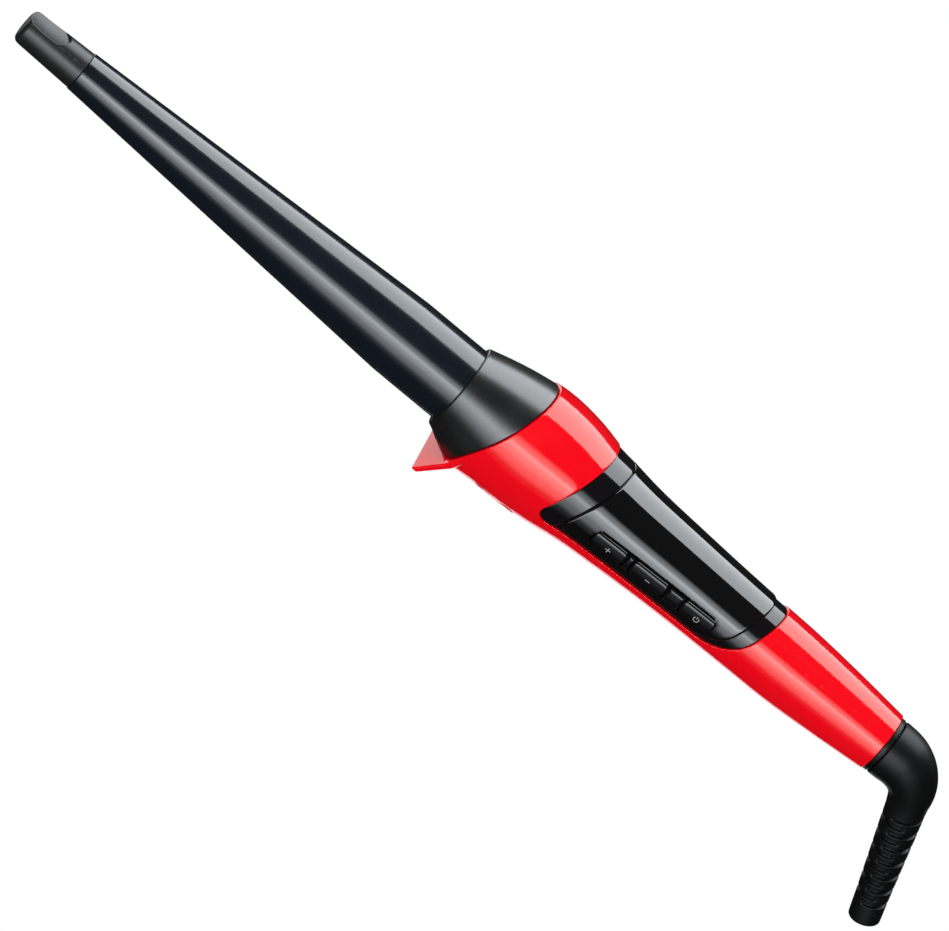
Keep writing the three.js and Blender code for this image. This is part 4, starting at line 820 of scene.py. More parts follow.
def saddle(front, rear, bottom, columns, over_rows, corners=(0, 0), corner_rows=0, edge=1.0):
    """A grid over the top of the handle, from one side's bottom line to the other's. front and
    rear give x from height and inset, corners are its rounded corners' radii, and edge is how
    far the bottom lines are rounded, from 0 to 1. columns are the stations from front to rear."""

    def place(inset, height, sunk=0.0):
        low = bottom + inset * edge
        radii = [max(r - inset, 0.0) for r in corners]
        reach = max(radii)
        share = np.asarray(columns)[:, None]
        steps = 1 - np.cos(np.linspace(0, math.pi / 2, corner_rows + 1)[:-1])
        depth = np.concatenate([reach * steps, [reach] * (over_rows + 1), (reach * steps)[::-1]])
        cuts = [
            np.where(depth < r, r - np.sqrt(np.maximum(r * r - (r - depth) ** 2, 0)), 0)
            for r in radii
        ]
        middle = np.linspace(1, -1, over_rows + 1)
        fraction = np.concatenate([[1] * corner_rows, middle, [-1] * corner_rows])
        fall = np.full(len(depth), float(sunk))
        fall[[0, -1]] *= edge
        z = np.full((len(columns), len(depth)), low)
        for _ in range(10):
            start, end = front(z, inset) - cuts[0][None, :], rear(z, inset) + cuts[1][None, :]
            x = start + share * (end - start)
            r = handle_radius(x) + height_at(height, x, z) - fall
            edge_turn = np.arccos(np.clip((low + depth[None, :] + handle_drop(x)) / r, -1, 1))
            turn = fraction[None, :] * edge_turn
            z = r * np.cos(turn) - handle_drop(x)
        return on_handle(x, turn, height, fall)

    count = over_rows + 2 * corner_rows
    return place, np.ones((len(columns) - 1, count), bool)


def pocket_rear(z, inset):
    """The red edge behind the panel, which follows the panel's rear corner below its centre."""
    radius = PANEL_REAR_CORNER + POCKET_GAP + inset
    centre_x = PANEL_REAR_X + PANEL_REAR_CORNER
    centre_z = PANEL_BOTTOM_Z + PANEL_REAR_CORNER
    below = np.clip(centre_z - z, 0, radius)
    return seam(centre_x - np.sqrt(radius**2 - below**2), z)


upper_front_place, upper_front_cells = saddle(
    lambda z, inset: seam(COLLAR_SEAM_X - GAP - inset, z),
    lambda z, inset: seam(PANEL_FRONT_X + POCKET_GAP + inset, z),
    PARTING, np.linspace(0, 1, 46), OVER_ROWS, edge=0.0,
)
upper_rear_place, upper_rear_cells = saddle(
    pocket_rear,
    lambda z, inset: HANDLE_REAR_X + inset + 0 * z,
    PARTING, np.linspace(0, 1, 80), OVER_ROWS, edge=0.0,
)
upper_front = facing_out(closed_skin(
    "upper_shell_front", upper_front_place, upper_front_cells, 0.0, -SHELL_WALL, RIM, gloss_red
))
upper_rear = facing_out(closed_skin(
    "upper_shell_rear", upper_rear_place, upper_rear_cells, 0.0, -SHELL_WALL, RIM, gloss_red
))


def lower_place(inset, height, sunk=0.0):
    """The lower half's grid: a band below the parting line in front of the panel, and the belly
    whose upper edge follows the panel's outline and then the parting line."""
    top = -PARTING
    front_r, rear_r = PANEL_FRONT_CORNER + POCKET_GAP, PANEL_REAR_CORNER + POCKET_GAP
    low = PANEL_BOTTOM_Z - POCKET_GAP
    hub_front = (PANEL_FRONT_X + POCKET_GAP - front_r, low + front_r)
    hub_rear = (PANEL_REAR_X - POCKET_GAP + rear_r, low + rear_r)
    radius_f, radius_r = front_r + inset, rear_r + inset
    band_stations = np.linspace(
        COLLAR_SEAM_X - GAP - inset, hub_front[0] + radius_f, BAND_STEPS + 1
    )
    lines = [(s, hub_front[1]) for s in band_stations]
    for a in np.linspace(0, math.pi / 2, CORNER_STEPS + 1)[1:]:
        lines.append((hub_front[0] + radius_f * math.cos(a), hub_front[1] - radius_f * math.sin(a)))
    for s in np.linspace(hub_front[0], hub_rear[0], BOTTOM_STEPS + 1)[1:]:
        lines.append((s, low - inset))
    last = math.asin(min(1, (hub_rear[1] - top) / radius_r))
    for a in np.linspace(math.pi / 2, last, REAR_STEPS + 1)[1:]:
        lines.append((hub_rear[0] - radius_r * math.cos(a), hub_rear[1] - radius_r * math.sin(a)))
    tail = np.linspace(0, 1, TAIL_STEPS + 1)[1:]
    tail_share = np.concatenate([np.zeros(len(lines)), tail])[:, None]
    lines += [(lines[-1][0], top)] * TAIL_STEPS
    along = np.array([line[0] for line in lines])[:, None]
    edge_z = np.array([line[1] for line in lines])[:, None]
    band = np.linspace(0, 1, BAND_ROWS + 1)[:-1]
    belly = np.linspace(1, -1, BELLY_ROWS + 1)
    kind = np.concatenate([band, np.ones(BELLY_ROWS + 1), band[::-1]])[None, :]
    fraction = np.concatenate([np.ones(BAND_ROWS), belly, -np.ones(BAND_ROWS)])[None, :]
    fall = np.full((len(lines), kind.shape[1]), float(sunk))
    fall[:BAND_STEPS + 1, [0, -1]] = 0
    fall[-TAIL_STEPS - 1:, [BAND_ROWS, -BAND_ROWS - 1]] = 0
    z = np.full(fall.shape, PANEL_BOTTOM_Z)
    turn = np.full(fall.shape, math.pi)
    for _ in range(16):
        x = seam(along, z)
        x = x + tail_share * (HANDLE_REAR_X + inset - x)
        r = skin_radius(x, turn) + height_at(height, x, z) - fall
        rim_z = top + kind * (edge_z - top)
        rim_turn = np.arccos(np.clip((rim_z + handle_drop(x)) / r, -1, 1))
        turn = math.pi - fraction * (math.pi - rim_turn)
        z = r * np.cos(turn) - handle_drop(x)
    return on_handle(x, turn, height, fall)


lower_steps = BAND_STEPS + CORNER_STEPS + BOTTOM_STEPS + REAR_STEPS + TAIL_STEPS
lower_cells = np.ones((lower_steps, BELLY_ROWS + 2 * BAND_ROWS), bool)
lower_cells[BAND_STEPS:, :BAND_ROWS] = False
lower_cells[BAND_STEPS:, -BAND_ROWS:] = False
lower_shell = facing_out(closed_skin(
    "lower_shell_half", lower_place, lower_cells, 0.0, -SHELL_WALL, RIM, gloss_red
))

HEAD_HEIGHT = 1.7
WELL_BORE = 1.25
WELL_RADIUS = 2.7
WELL_WALL = 1.0
WELL_FLOOR = 1.2
WELL_RIM = 0.3
WELL_SINK = 0.01
WELL_SIDES = 64
DRILL_LENGTH = 20.0


def underside(x, y):
    """The height of the lower shell's outer skin at a place seen from below."""
    turn = np.full(np.shape(x), math.pi)
    for _ in range(12):
        turn = math.pi - np.arcsin(np.clip(y / skin_radius(x, turn), -1, 1))
    return skin_radius(x, turn) * np.cos(turn) - handle_drop(x)


def ring_at(seat, radius, above_seat=None, above_skin=None):
    """A ring round a screw, level with its seat or following the shell's skin."""
    turns = np.linspace(0, 2 * math.pi, WELL_SIDES, endpoint=False)
    x, y = seat[0] + radius * np.cos(turns), seat[1] + radius * np.sin(turns)
    z = seat[2] + above_seat + 0 * x if above_skin is None else underside(x, y) + above_skin
    return np.stack([x, y, z], axis=-1)


def through(count, first=0, closed=False):
    """The faces that join each of so many rings to the next, and the last to the first."""
    faces = []
    for i in range(count if closed else count - 1):
        a, b = first + i * WELL_SIDES, first + (i + 1) % count * WELL_SIDES
        for k in range(WELL_SIDES):
            n = (k + 1) % WELL_SIDES
            faces.append((a + k, b + k, b + n, a + n))
    return faces


seats, well_rings, well_faces = [], [], []
for number in (1, 2, 3):
    low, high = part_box(f"housing_screw_{number}")
    seat = [(low.x + high.x) * 500, (low.y + high.y) * 500, (low.z - AXIS_Z) * 1000 + HEAD_HEIGHT]
    rings = [ring_at(seat, WELL_BORE, 0), ring_at(seat, WELL_RADIUS, 0)]
    for a in np.linspace(0, math.pi / 2, 6):
        rings.append(ring_at(
            seat, WELL_RADIUS + WELL_RIM * (1 - math.cos(a)),
            above_skin=WELL_RIM * (1 - math.sin(a)) - WELL_SINK,
        ))
    rings.append(ring_at(seat, WELL_RADIUS + WELL_WALL, above_skin=0.4))
    rings.append(ring_at(seat, WELL_RADIUS + WELL_WALL, WELL_FLOOR))
    rings.append(ring_at(seat, WELL_BORE, WELL_FLOOR))
    well_faces += through(len(rings), len(well_rings) * WELL_SIDES, closed=True)
    well_rings += rings
    seats.append(seat)
    drill_points = [ring_at(seat, WELL_RADIUS + WELL_RIM, z) for z in (-DRILL_LENGTH, 0)]
    ends = [tuple(range(WELL_SIDES)), tuple(range(2 * WELL_SIDES - 1, WELL_SIDES - 1, -1))]
    drill = facing_out(surface_object(
        f"drill_{number}", np.concatenate(drill_points), through(2) + ends, gloss_red
    ))
    cut = lower_shell.modifiers.new("well", "BOOLEAN")
    cut.object = drill
    cut.operation = "DIFFERENCE"
    cut.solver = "EXACT"
bpy.context.view_layer.update()
graph = bpy.context.evaluated_depsgraph_get()
drilled = bpy.data.meshes.new_from_object(lower_shell.evaluated_get(graph), depsgraph=graph)
for cut in list(lower_shell.modifiers):
    bpy.data.objects.remove(cut.object)
lower_shell.modifiers.clear()
lower_shell.data = drilled
wells = facing_out(surface_object(
    "screw_wells", np.concatenate(well_rings), well_faces, gloss_red, sharp=40
))
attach(wells, "wand")
for shell, name in ((upper_front, "upper_shell"), (lower_shell, "lower_shell")):
    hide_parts(name)
for shell in (upper_front, upper_rear, lower_shell):
    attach(shell, "wand")

# ---- Stand lip -----------------------------------------------------------------------------
# The flared foot under the collar, moulded with the lower shell, that keeps the hot barrel off
# the table. It thins towards the foot, and its flat front shows beside the collar.

LIP_TOP_Z = -5.0
LIP_ROOT_Z = -14.8
LIP_ROOT_THICKNESS = 3.9
FOOT_BELOW_CAD = 0.6
FOOT_Z = (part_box("lower_shell")[0].z - AXIS_Z) * 1000 - FOOT_BELOW_CAD
FOOT_FRONT_X = 2.4
FOOT_THICKNESS = 3.1
FOOT_HALF_WIDTH = 14.6
SHOULDER_HALF_WIDTH = 16.8
SHOULDER_Z = -4.0
LIP_CORNER = 0.6
LIP_SIDE = 1.5
LIP_SWEEP = 6.0
LIP_EDGE = 0.7


def lip_section(z):
    """The lip's front and rear x and its half width at a height."""
    root_front = seam(COLLAR_SEAM_X - GAP, LIP_ROOT_Z)
    down = np.clip((LIP_ROOT_Z - z) / (LIP_ROOT_Z - FOOT_Z), 0, 1)
    front = np.where(z > LIP_ROOT_Z, seam(COLLAR_SEAM_X - GAP, z),
                     root_front + down * (FOOT_FRONT_X - root_front))
    thick = np.where(z > LIP_ROOT_Z, LIP_ROOT_THICKNESS,
                     LIP_ROOT_THICKNESS + down * (FOOT_THICKNESS - LIP_ROOT_THICKNESS))
    half = FOOT_HALF_WIDTH + (z - FOOT_Z) / (SHOULDER_Z - FOOT_Z) * (
        SHOULDER_HALF_WIDTH - FOOT_HALF_WIDTH)
    return front, front - thick, half


def lip_ring(z, inset):
    """A ring round the lip at a height, drawn in by inset. Its front corners are tight, and the
    rear ones sweep forward into its thin sides."""
    front, rear, half = lip_section(np.array(z))
    front, rear, half = front - inset, rear + inset, half - inset
    tight = min(LIP_CORNER, (front - rear) / 2 - 0.02)
    deep = max(front - rear - LIP_SIDE, tight)
    ring = []
    for cx, cy, rx, ry, start in (
        (front - tight, half - tight, tight, tight, 0),
        (rear + deep, half - LIP_SWEEP, deep, LIP_SWEEP, 90),
        (rear + deep, -half + LIP_SWEEP, deep, LIP_SWEEP, 180),
        (front - tight, -half + tight, tight, tight, 270),
    ):
        for a in np.radians(np.linspace(start, start + 90, 9)):
            ring.append((cx + rx * math.cos(a), cy + ry * math.sin(a), z))
    return ring


lip_heights = [(LIP_TOP_Z, 0.0)]
lip_heights += [(z, 0.0) for z in np.linspace(LIP_TOP_Z - 1, FOOT_Z + LIP_EDGE, 60)]
for a in np.linspace(0, math.pi / 2, 6)[1:]:
    lip_heights.append((FOOT_Z + LIP_EDGE * (1 - math.sin(a)), LIP_EDGE * (1 - math.cos(a))))
lip_rings = [lip_ring(z, inset) for z, inset in lip_heights]
ring_size = len(lip_rings[0])
lip_points = np.array([p for ring in lip_rings for p in ring])
lip_faces = []
for i in range(len(lip_rings) - 1):
    for k in range(ring_size):
        n = (k + 1) % ring_size
        lip_faces.append((i * ring_size + k, i * ring_size + n,
                          (i + 1) * ring_size + n, (i + 1) * ring_size + k))
lip_faces.append(tuple(range(ring_size)))
lip_faces.append(tuple(reversed(range(len(lip_points) - ring_size, len(lip_points)))))
stand_lip = facing_out(surface_object("stand_lip", lip_points, lip_faces, gloss_red, sharp=60))
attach(stand_lip, "wand")

# ---- Control panel -------------------------------------------------------------------------
# A saddle of polished black ABS let into the red shells over the top and down both sides. A
# slot on the key side lets the three keys through.

PANEL_SINK = 0.5
PANEL_THICKNESS = 1.6
ROW_CENTRE_X = -72.7
ROW_CENTRE_Z = -1.0
ROW_TURN = 0.04945
ROW_LENGTH = 45.2
KEY_HEIGHT = 5.0
PANEL_RIM = (0.35, 0.3)
CORNER_ROWS = 34
BED_SLOT_ALONG = 3.0  # how much longer and taller than the keys the panel's slot is
BED_SLOT_ACROSS = 2.6
BED_SLOT_RADIUS = 2.6
CAP_RISE = 0.5  # how far the panel's front cap is proud of the bed of the window
GROOVE_FRONT = 7.3  # from the panel's front, with the window's front at the groove's rear
GROOVE_WALL = 0.7
GROOVE_FINE = 0.4

gloss_black = paint_of(
    "polished_black", (0.0042, 0.0036, 0.0042), (0.0055, 0.0048, 0.0055), (0.06, 0.10),
    (150, 0.003), wear=(0.02, 0.02, 0.02),
)
smoked_acrylic = paint_of(
    "smoked_acrylic", (0.0034, 0.0030, 0.0034), (0.0044, 0.0040, 0.0044), (0.04, 0.07),
    (120, 0.003), coat=0.3, wear=(0.02, 0.02, 0.02),
)


def slot_edge(px, pz, half_length, half_height, radius):
    """Signed distance to a rounded slot, and the direction away from it."""
    dx, dz = np.abs(px) - (half_length - radius), np.abs(pz) - (half_height - radius)
    outside = np.hypot(np.maximum(dx, 0), np.maximum(dz, 0))
    distance = outside + np.minimum(np.maximum(dx, dz), 0) - radius
    along_x = np.where(outside > 1e-9, np.maximum(dx, 0) / np.maximum(outside, 1e-9), dx > dz)
    along_z = np.where(outside > 1e-9, np.maximum(dz, 0) / np.maximum(outside, 1e-9), dx <= dz)
    return distance, along_x * np.sign(px), along_z * np.sign(pz)


def with_key_slot(place, cells, length, height_across, radius, top):
    """Cuts the key slot out of a grid: its faces go, and the ones round it meet its outline."""
    half_length, half_height = length / 2, height_across / 2
    flat = place(0.0, top)
    centre = (flat[:-1, :-1] + flat[1:, :-1] + flat[1:, 1:] + flat[:-1, 1:]) / 4
    cx = (centre[..., 0] - ROW_CENTRE_X) / math.cos(ROW_TURN)
    distance = slot_edge(cx, centre[..., 2] - ROW_CENTRE_Z, half_length, half_height, radius)[0]
    gone = (distance < 0) & (centre[..., 1] > 0)
    kept = cells & ~gone
    near_gone = np.zeros(flat.shape[:2], bool)
    near_kept = np.zeros(flat.shape[:2], bool)
    for di in (0, 1):
        for dj in (0, 1):
            window = (slice(di, di + cells.shape[0]), slice(dj, dj + cells.shape[1]))
            near_gone[window] |= gone
            near_kept[window] |= kept
    rim = near_gone & near_kept
    px = (flat[rim][:, 0] - ROW_CENTRE_X) / math.cos(ROW_TURN)
    pz = flat[rim][:, 2] - ROW_CENTRE_Z
    away, nx, nz = slot_edge(px, pz, half_length, half_height, radius)
    foot_x, foot_z = px - away * nx, pz - away * nz

    def slotted(inset, height, sunk=0.0):
        points = place(inset, height, sunk).copy()
        x = ROW_CENTRE_X + (foot_x + inset * nx) * math.cos(ROW_TURN)
        z = ROW_CENTRE_Z + foot_z + inset * nz
        r = handle_radius(x) + height_at(height, x, z) - sunk
        points[rim] = np.stack([x, np.sqrt(r * r - (z + handle_drop(x)) ** 2), z], axis=-1)
        return points

    return slotted, kept


def panel_top(x, z):
    """The panel's height: a low bed under the window and, past a groove, a raised front cap."""
    behind = PANEL_FRONT_X - (x + SEAM_SLOPE * z)
    rise = np.clip(behind / GROOVE_FRONT, 0, 1)
    fall = np.clip((GROOVE_FRONT - behind) / GROOVE_WALL + 0.5, 0, 1)
    return -PANEL_SINK + CAP_RISE * rise * fall * fall * (3 - 2 * fall)


panel_length = PANEL_FRONT_X - PANEL_REAR_X
panel_columns = np.concatenate([
    np.linspace(0, GROOVE_FRONT - GROOVE_FINE, 22)[:-1],
    np.linspace(GROOVE_FRONT - GROOVE_FINE, GROOVE_FRONT + GROOVE_FINE, 18)[:-1],
    np.linspace(GROOVE_FRONT + GROOVE_FINE, panel_length, 160),
]) / panel_length
panel_place, panel_cells = saddle(
    lambda z, inset: seam(PANEL_FRONT_X - inset, z),
    lambda z, inset: seam(PANEL_REAR_X + inset, z),
    PANEL_BOTTOM_Z, panel_columns, 90, (PANEL_FRONT_CORNER, PANEL_REAR_CORNER), CORNER_ROWS,
)
panel_place, panel_cells = with_key_slot(
    panel_place, panel_cells, ROW_LENGTH + BED_SLOT_ALONG, KEY_HEIGHT + BED_SLOT_ACROSS,
    BED_SLOT_RADIUS, panel_top,
)
panel = facing_out(closed_skin(
    "control_panel_saddle", panel_place, panel_cells, panel_top,
    -PANEL_SINK - PANEL_THICKNESS, PANEL_RIM, gloss_black,
))
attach(panel, "wand")
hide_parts("control_panel")

# ---- Display window ------------------------------------------------------------------------
# A smoked acrylic cover bonded on the panel and proud of it, with polished edges. It looks black,
# since the wand is off and its display is dark.

WINDOW_PROUD = 0.6
WINDOW_FRONT_MARGIN = 7.6
WINDOW_REAR_MARGIN = 4.6
WINDOW_REAR_RAKE = 2.4
WINDOW_BOTTOM_MARGIN = 0.9
WINDOW_CORNERS = (4.2, 8.0)
WINDOW_RIM = (0.62, 0.54)
WINDOW_SLOT_MARGIN = 0.7
WINDOW_SLOT_RADIUS = 2.4
BOND = 0.03

window_place, window_cells = saddle(
    lambda z, inset: seam(PANEL_FRONT_X - WINDOW_FRONT_MARGIN - inset, z),
    lambda z, inset: seam(PANEL_REAR_X + WINDOW_REAR_MARGIN + WINDOW_REAR_RAKE * inset, z),
    PANEL_BOTTOM_Z + WINDOW_BOTTOM_MARGIN, np.linspace(0, 1, 200), 96, WINDOW_CORNERS, CORNER_ROWS,
)
window_place, window_cells = with_key_slot(
    window_place, window_cells, ROW_LENGTH + WINDOW_SLOT_MARGIN, KEY_HEIGHT + WINDOW_SLOT_MARGIN,
    WINDOW_SLOT_RADIUS, 0.0,
)
window = facing_out(closed_skin(
    "display_window_cover", window_place, window_cells, WINDOW_PROUD - PANEL_SINK,
    -PANEL_SINK + BOND, WINDOW_RIM, smoked_acrylic, steps=8,
))
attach(window, "wand")
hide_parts("display_window")

# ---- Keys ----------------------------------------------------------------------------------
# Three black ABS key caps in a row, crowned and well rounded, each with a small printed sign:
# more, less and power. Ridges of the bezel stand between them.

# Place along the row and length.
KEYS = {"plus": (16.6, 12.0), "minus": (1.75, 12.9), "power": (-16.6, 12.0)}
RIDGES = {"front": (9.4, 1.9), "rear": (-7.65, 5.3)}
KEY_PROUD = 0.62
KEY_SKIRT = -2.0
KEY_CORNER = 1.5
KEY_ROUNDING = (1.1, 0.8)
KEY_CROWN = 0.16
RIDGE_CORNER = 0.6
RIDGE_ROUNDING = (0.9, 0.8)
RIDGE_SINK = 0.08
SIGN_SIZE = 1.7
SIGN_STROKE = 0.26
SIGN_RAISE = 0.04
SIGN_BITE = 0.02
SIGN_DROP = -0.5
row_y = float(
    handle_radius(ROW_CENTRE_X + ROW_LENGTH / 2) + handle_radius(ROW_CENTRE_X - ROW_LENGTH / 2)
) / 2


def row_point(a, b, h):
    """From the key row's own frame, along, up and out, to the wand's."""
    cos_t, sin_t = math.cos(ROW_TURN), math.sin(ROW_TURN)
    return np.stack(
        [ROW_CENTRE_X + a * cos_t - h * sin_t, row_y + a * sin_t + h * cos_t, ROW_CENTRE_Z + b],
        axis=-1,
    )


def key_place(centre, length, corner):
    """The grid of a crowned, round-cornered key face in the row."""

    def place(inset, height, sunk=0.0):
        half_a, half_b = length / 2 - inset, KEY_HEIGHT / 2 - inset
        radius = max(corner - inset, 0.05)
        ends = radius * (1 - np.cos(np.linspace(0, math.pi / 2, 9)[:-1]))
        inner = np.linspace(radius, 2 * half_b - radius, 15)
        depth = np.concatenate([ends, inner, 2 * half_b - ends[::-1]])
        from_edge = np.minimum(depth, 2 * half_b - depth)
        round_end = radius - np.sqrt(np.maximum(radius**2 - (radius - from_edge) ** 2, 0))
        cut = np.where(from_edge < radius, round_end, 0)
        share = np.linspace(-1, 1, 49)[:, None]
        a = share * (half_a - cut)[None, :]
        b = (depth - half_b)[None, :] + 0 * a
        dip = (b / (KEY_HEIGHT / 2)) ** 2 + 0.4 * (a / (length / 2)) ** 4
        return row_point(centre + a, b, height - sunk - KEY_CROWN * dip)

    return place, np.ones((48, 30), bool)


for key, (centre, length) in KEYS.items():
    place, cells = key_place(centre, length, KEY_CORNER)
    cap = facing_out(closed_skin(
        f"key_cap_{key}", place, cells, KEY_PROUD, KEY_SKIRT, KEY_ROUNDING, gloss_black, steps=7
    ))
    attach(cap, f"key_{key}")
    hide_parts(f"button_{key}")

for ridge, (centre, length) in RIDGES.items():
    place, cells = key_place(centre, length, RIDGE_CORNER)
    bar = facing_out(closed_skin(
        f"bezel_ridge_{ridge}", place, cells, KEY_PROUD - RIDGE_SINK, KEY_SKIRT, RIDGE_ROUNDING,
        gloss_black,
    ))
    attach(bar, "wand")

sign_ink = paint_of(
    "sign_ink", (0.26, 0.25, 0.22), (0.34, 0.33, 0.30), (0.45, 0.6), (3000, 0.004)
)

def stroke(line):
    """A closed thin body along a line on a key's face, from its middle line's points."""
    line = np.array(line, float)
    ahead = np.gradient(line, axis=0)
    ahead /= np.linalg.norm(ahead, axis=1)[:, None]
    beside = np.stack([-ahead[:, 1], ahead[:, 0]], axis=1) * SIGN_STROKE / 2
    count = len(line)
    corners = []
    for h in (0.0, 1.0):
        for edge in (line + beside, line - beside):
            corners += [(a, b, h) for a, b in edge]
    faces = []
    for i in range(count - 1):
        l0, r0, l1, r1 = i, count + i, 2 * count + i, 3 * count + i
        faces += [(l1, r1, r1 + 1, l1 + 1), (l0, l0 + 1, r0 + 1, r0),
                  (l0, l1, l1 + 1, l0 + 1), (r0, r0 + 1, r1 + 1, r1)]
    e = count - 1
    faces += [(0, count, 3 * count, 2 * count), (e, 2 * count + e, 3 * count + e, count + e)]
    return corners, faces


def sign_strokes(key):
    """The middle lines of a key's sign."""
    half = SIGN_SIZE / 2
    flat = [(-half, 0), (0, 0), (half, 0)]
    if key == "minus":
        return [flat]
    if key == "plus":
        return [flat, [(0, SIGN_STROKE / 2), (0, half)], [(0, -half), (0, -SIGN_STROKE / 2)]]
    sweep = np.radians(np.linspace(130, 410, 30))
    return [
        [(half * math.cos(a), half * math.sin(a)) for a in sweep],
        [(0, 0.25), (0, half * 1.25)],
    ]


for key, (centre, _) in KEYS.items():
    corners, faces = [], []
    for line in sign_strokes(key):
        more, sides = stroke(line)
        faces += [tuple(len(corners) + i for i in side) for side in sides]
        corners += more
    flat = np.array(corners)
    lift = KEY_PROUD - KEY_CROWN * ((flat[:, 1] + SIGN_DROP) / (KEY_HEIGHT / 2)) ** 2
    lift += flat[:, 2] * SIGN_RAISE - SIGN_BITE
    raised = row_point(centre + flat[:, 0], flat[:, 1] + SIGN_DROP, lift)
    sign = facing_out(surface_object(f"key_sign_{key}", raised, faces, sign_ink))
    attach(sign, f"key_{key}")

repaint(gloss_black, "key_bezel")

# ---- Inside the handle ---------------------------------------------------------------------
# The display, the two boards with their parts, the switches and the leads. They are hidden by
# the shells, and carry plain working finishes.

board_green = paint_of(
    "board_green", (0.010, 0.085, 0.030), (0.016, 0.12, 0.045), (0.35, 0.5), (900, 0.01)
)
case_black = paint_of(
    "case_black", (0.018, 0.019, 0.02), (0.026, 0.027, 0.028), (0.5, 0.62), (2200, 0.012)
)
white_nylon = paint_of(
    "white_nylon", (0.72, 0.72, 0.69), (0.8, 0.8, 0.77), (0.45, 0.6), (1800, 0.01)
)
display_glass = paint_of(
    "display_glass", (0.13, 0.16, 0.12), (0.17, 0.2, 0.15), (0.06, 0.12), (300, 0.002)
)
ring_brass = paint_of(
    "ring_brass", (0.55, 0.38, 0.12), (0.66, 0.47, 0.18), (0.2, 0.32), (1500, 0.004),
    metallic=1.0,
)
lead_white = paint_of(
    "lead_white", (0.66, 0.64, 0.58), (0.74, 0.72, 0.66), (0.5, 0.62), (1800, 0.008)
)
lead_red = paint_of("lead_red", (0.35, 0.012, 0.016), (0.42, 0.02, 0.022), (0.5, 0.6), (1800, 0.008))
lead_blue = paint_of("lead_blue", (0.016, 0.07, 0.3), (0.024, 0.1, 0.38), (0.5, 0.6), (1800, 0.008))

repaint(board_green, "control_board", "key_board", "power_board")
repaint(case_black, "film_capacitor", "triac", "switch_plus", "switch_minus", "switch_power")
repaint(white_nylon, "display_light", "display_ribbon", "switch_stem_plus", "switch_stem_minus")
repaint(white_nylon, "switch_stem_power", "swivel_spool", "brush_holder")
repaint(display_glass, "display_glass")
repaint(ring_brass, "slip_ring_live", "slip_ring_neutral")
repaint(lead_white, "sensor_lead", "fuse_link")
repaint(lead_red, "heater_lead_live", "mains_lead_live")
repaint(lead_blue, "heater_lead_neutral", "mains_lead_neutral")

# ---- Housing screws ------------------------------------------------------------------------
# Three self-tapping steel screws that hold the shells together. Each has a domed pan head with
# a cross recess, and sits deep in its well in the underside.

HEAD_RADIUS = 2.2
HEAD_FLAT = 1.5
HEAD_EDGE = 0.55
SHANK_RADIUS = 1.2
SHANK_LENGTH = 13.5
SCREW_SIDES = 64
RECESS_HALF_WIDTH = 0.28
RECESS_REACH = 1.35
RECESS_DEPTH = 0.7
SCREW_TURN = 0.7  # from each screw to the next, in radians


def screw_mesh():
    """One screw pointing up, its head's underside at the origin."""
    profile = [(-HEAD_HEIGHT, 0)]
    profile += [(-HEAD_HEIGHT, r) for r in np.linspace(0.2, HEAD_FLAT, 8)]
    profile += arc(HEAD_EDGE - HEAD_HEIGHT, HEAD_RADIUS - HEAD_EDGE, HEAD_EDGE, 190, 90, 6)
    profile += [(0, HEAD_RADIUS), (0, SHANK_RADIUS), (SHANK_LENGTH, SHANK_RADIUS), (SHANK_LENGTH, 0)]
    points, faces = turned(profile[::-1], SCREW_SIDES)
    across = np.minimum(np.abs(points[:, 1]), np.abs(points[:, 2]))
    reach = np.maximum(np.abs(points[:, 1]), np.abs(points[:, 2]))
    in_cross = (across < RECESS_HALF_WIDTH) & (reach < RECESS_REACH)
    points[in_cross & (points[:, 0] < -1.0), 0] += RECESS_DEPTH
    mesh = bpy.data.meshes.new("screw_pattern")
    upright = np.stack([points[:, 1], points[:, 2], points[:, 0]], axis=1) * 0.001
    mesh.from_pydata(upright.tolist(), [], [tuple(f) for f in faces])
    mesh.shade_smooth()
    mesh.set_sharp_from_angle(angle=math.radians(35))
    return mesh


def screw_tree():
    """Puts the screw on each of the given points, each turned further than the last."""
    tree = bpy.data.node_groups.new("screws_on_points", "GeometryNodeTree")
    face = tree.interface
    face.new_socket("Geometry", in_out="INPUT", socket_type="NodeSocketGeometry")
    face.new_socket("Screw", in_out="INPUT", socket_type="NodeSocketObject")
    face.new_socket("Turn", in_out="INPUT", socket_type="NodeSocketFloat")
    face.new_socket("Finish", in_out="INPUT", socket_type="NodeSocketMaterial")
    face.new_socket("Geometry", in_out="OUTPUT", socket_type="NodeSocketGeometry")
    given = tree.nodes.new("NodeGroupInput").outputs
    pattern = tree.nodes.new("GeometryNodeObjectInfo")
    index = tree.nodes.new("GeometryNodeInputIndex")
    turn = math_in(tree, "MULTIPLY", index.outputs[0], given["Turn"])
    spin = tree.nodes.new("ShaderNodeCombineXYZ")
    place = tree.nodes.new("GeometryNodeInstanceOnPoints")
    real = tree.nodes.new("GeometryNodeRealizeInstances")
    painted = tree.nodes.new("GeometryNodeSetMaterial")
    out = tree.nodes.new("NodeGroupOutput")
    link_all(
        tree,
        (given["Screw"], pattern.inputs["Object"]),
        (turn, spin.inputs["Z"]),
        (given["Geometry"], place.inputs["Points"]),
        (pattern.outputs["Geometry"], place.inputs["Instance"]),
        (spin.outputs[0], place.inputs["Rotation"]),
        (place.outputs[0], real.inputs[0]),
        (real.outputs[0], painted.inputs["Geometry"]),
        (given["Finish"], painted.inputs["Material"]),
        (painted.outputs[0], out.inputs[0]),
    )
    return tree


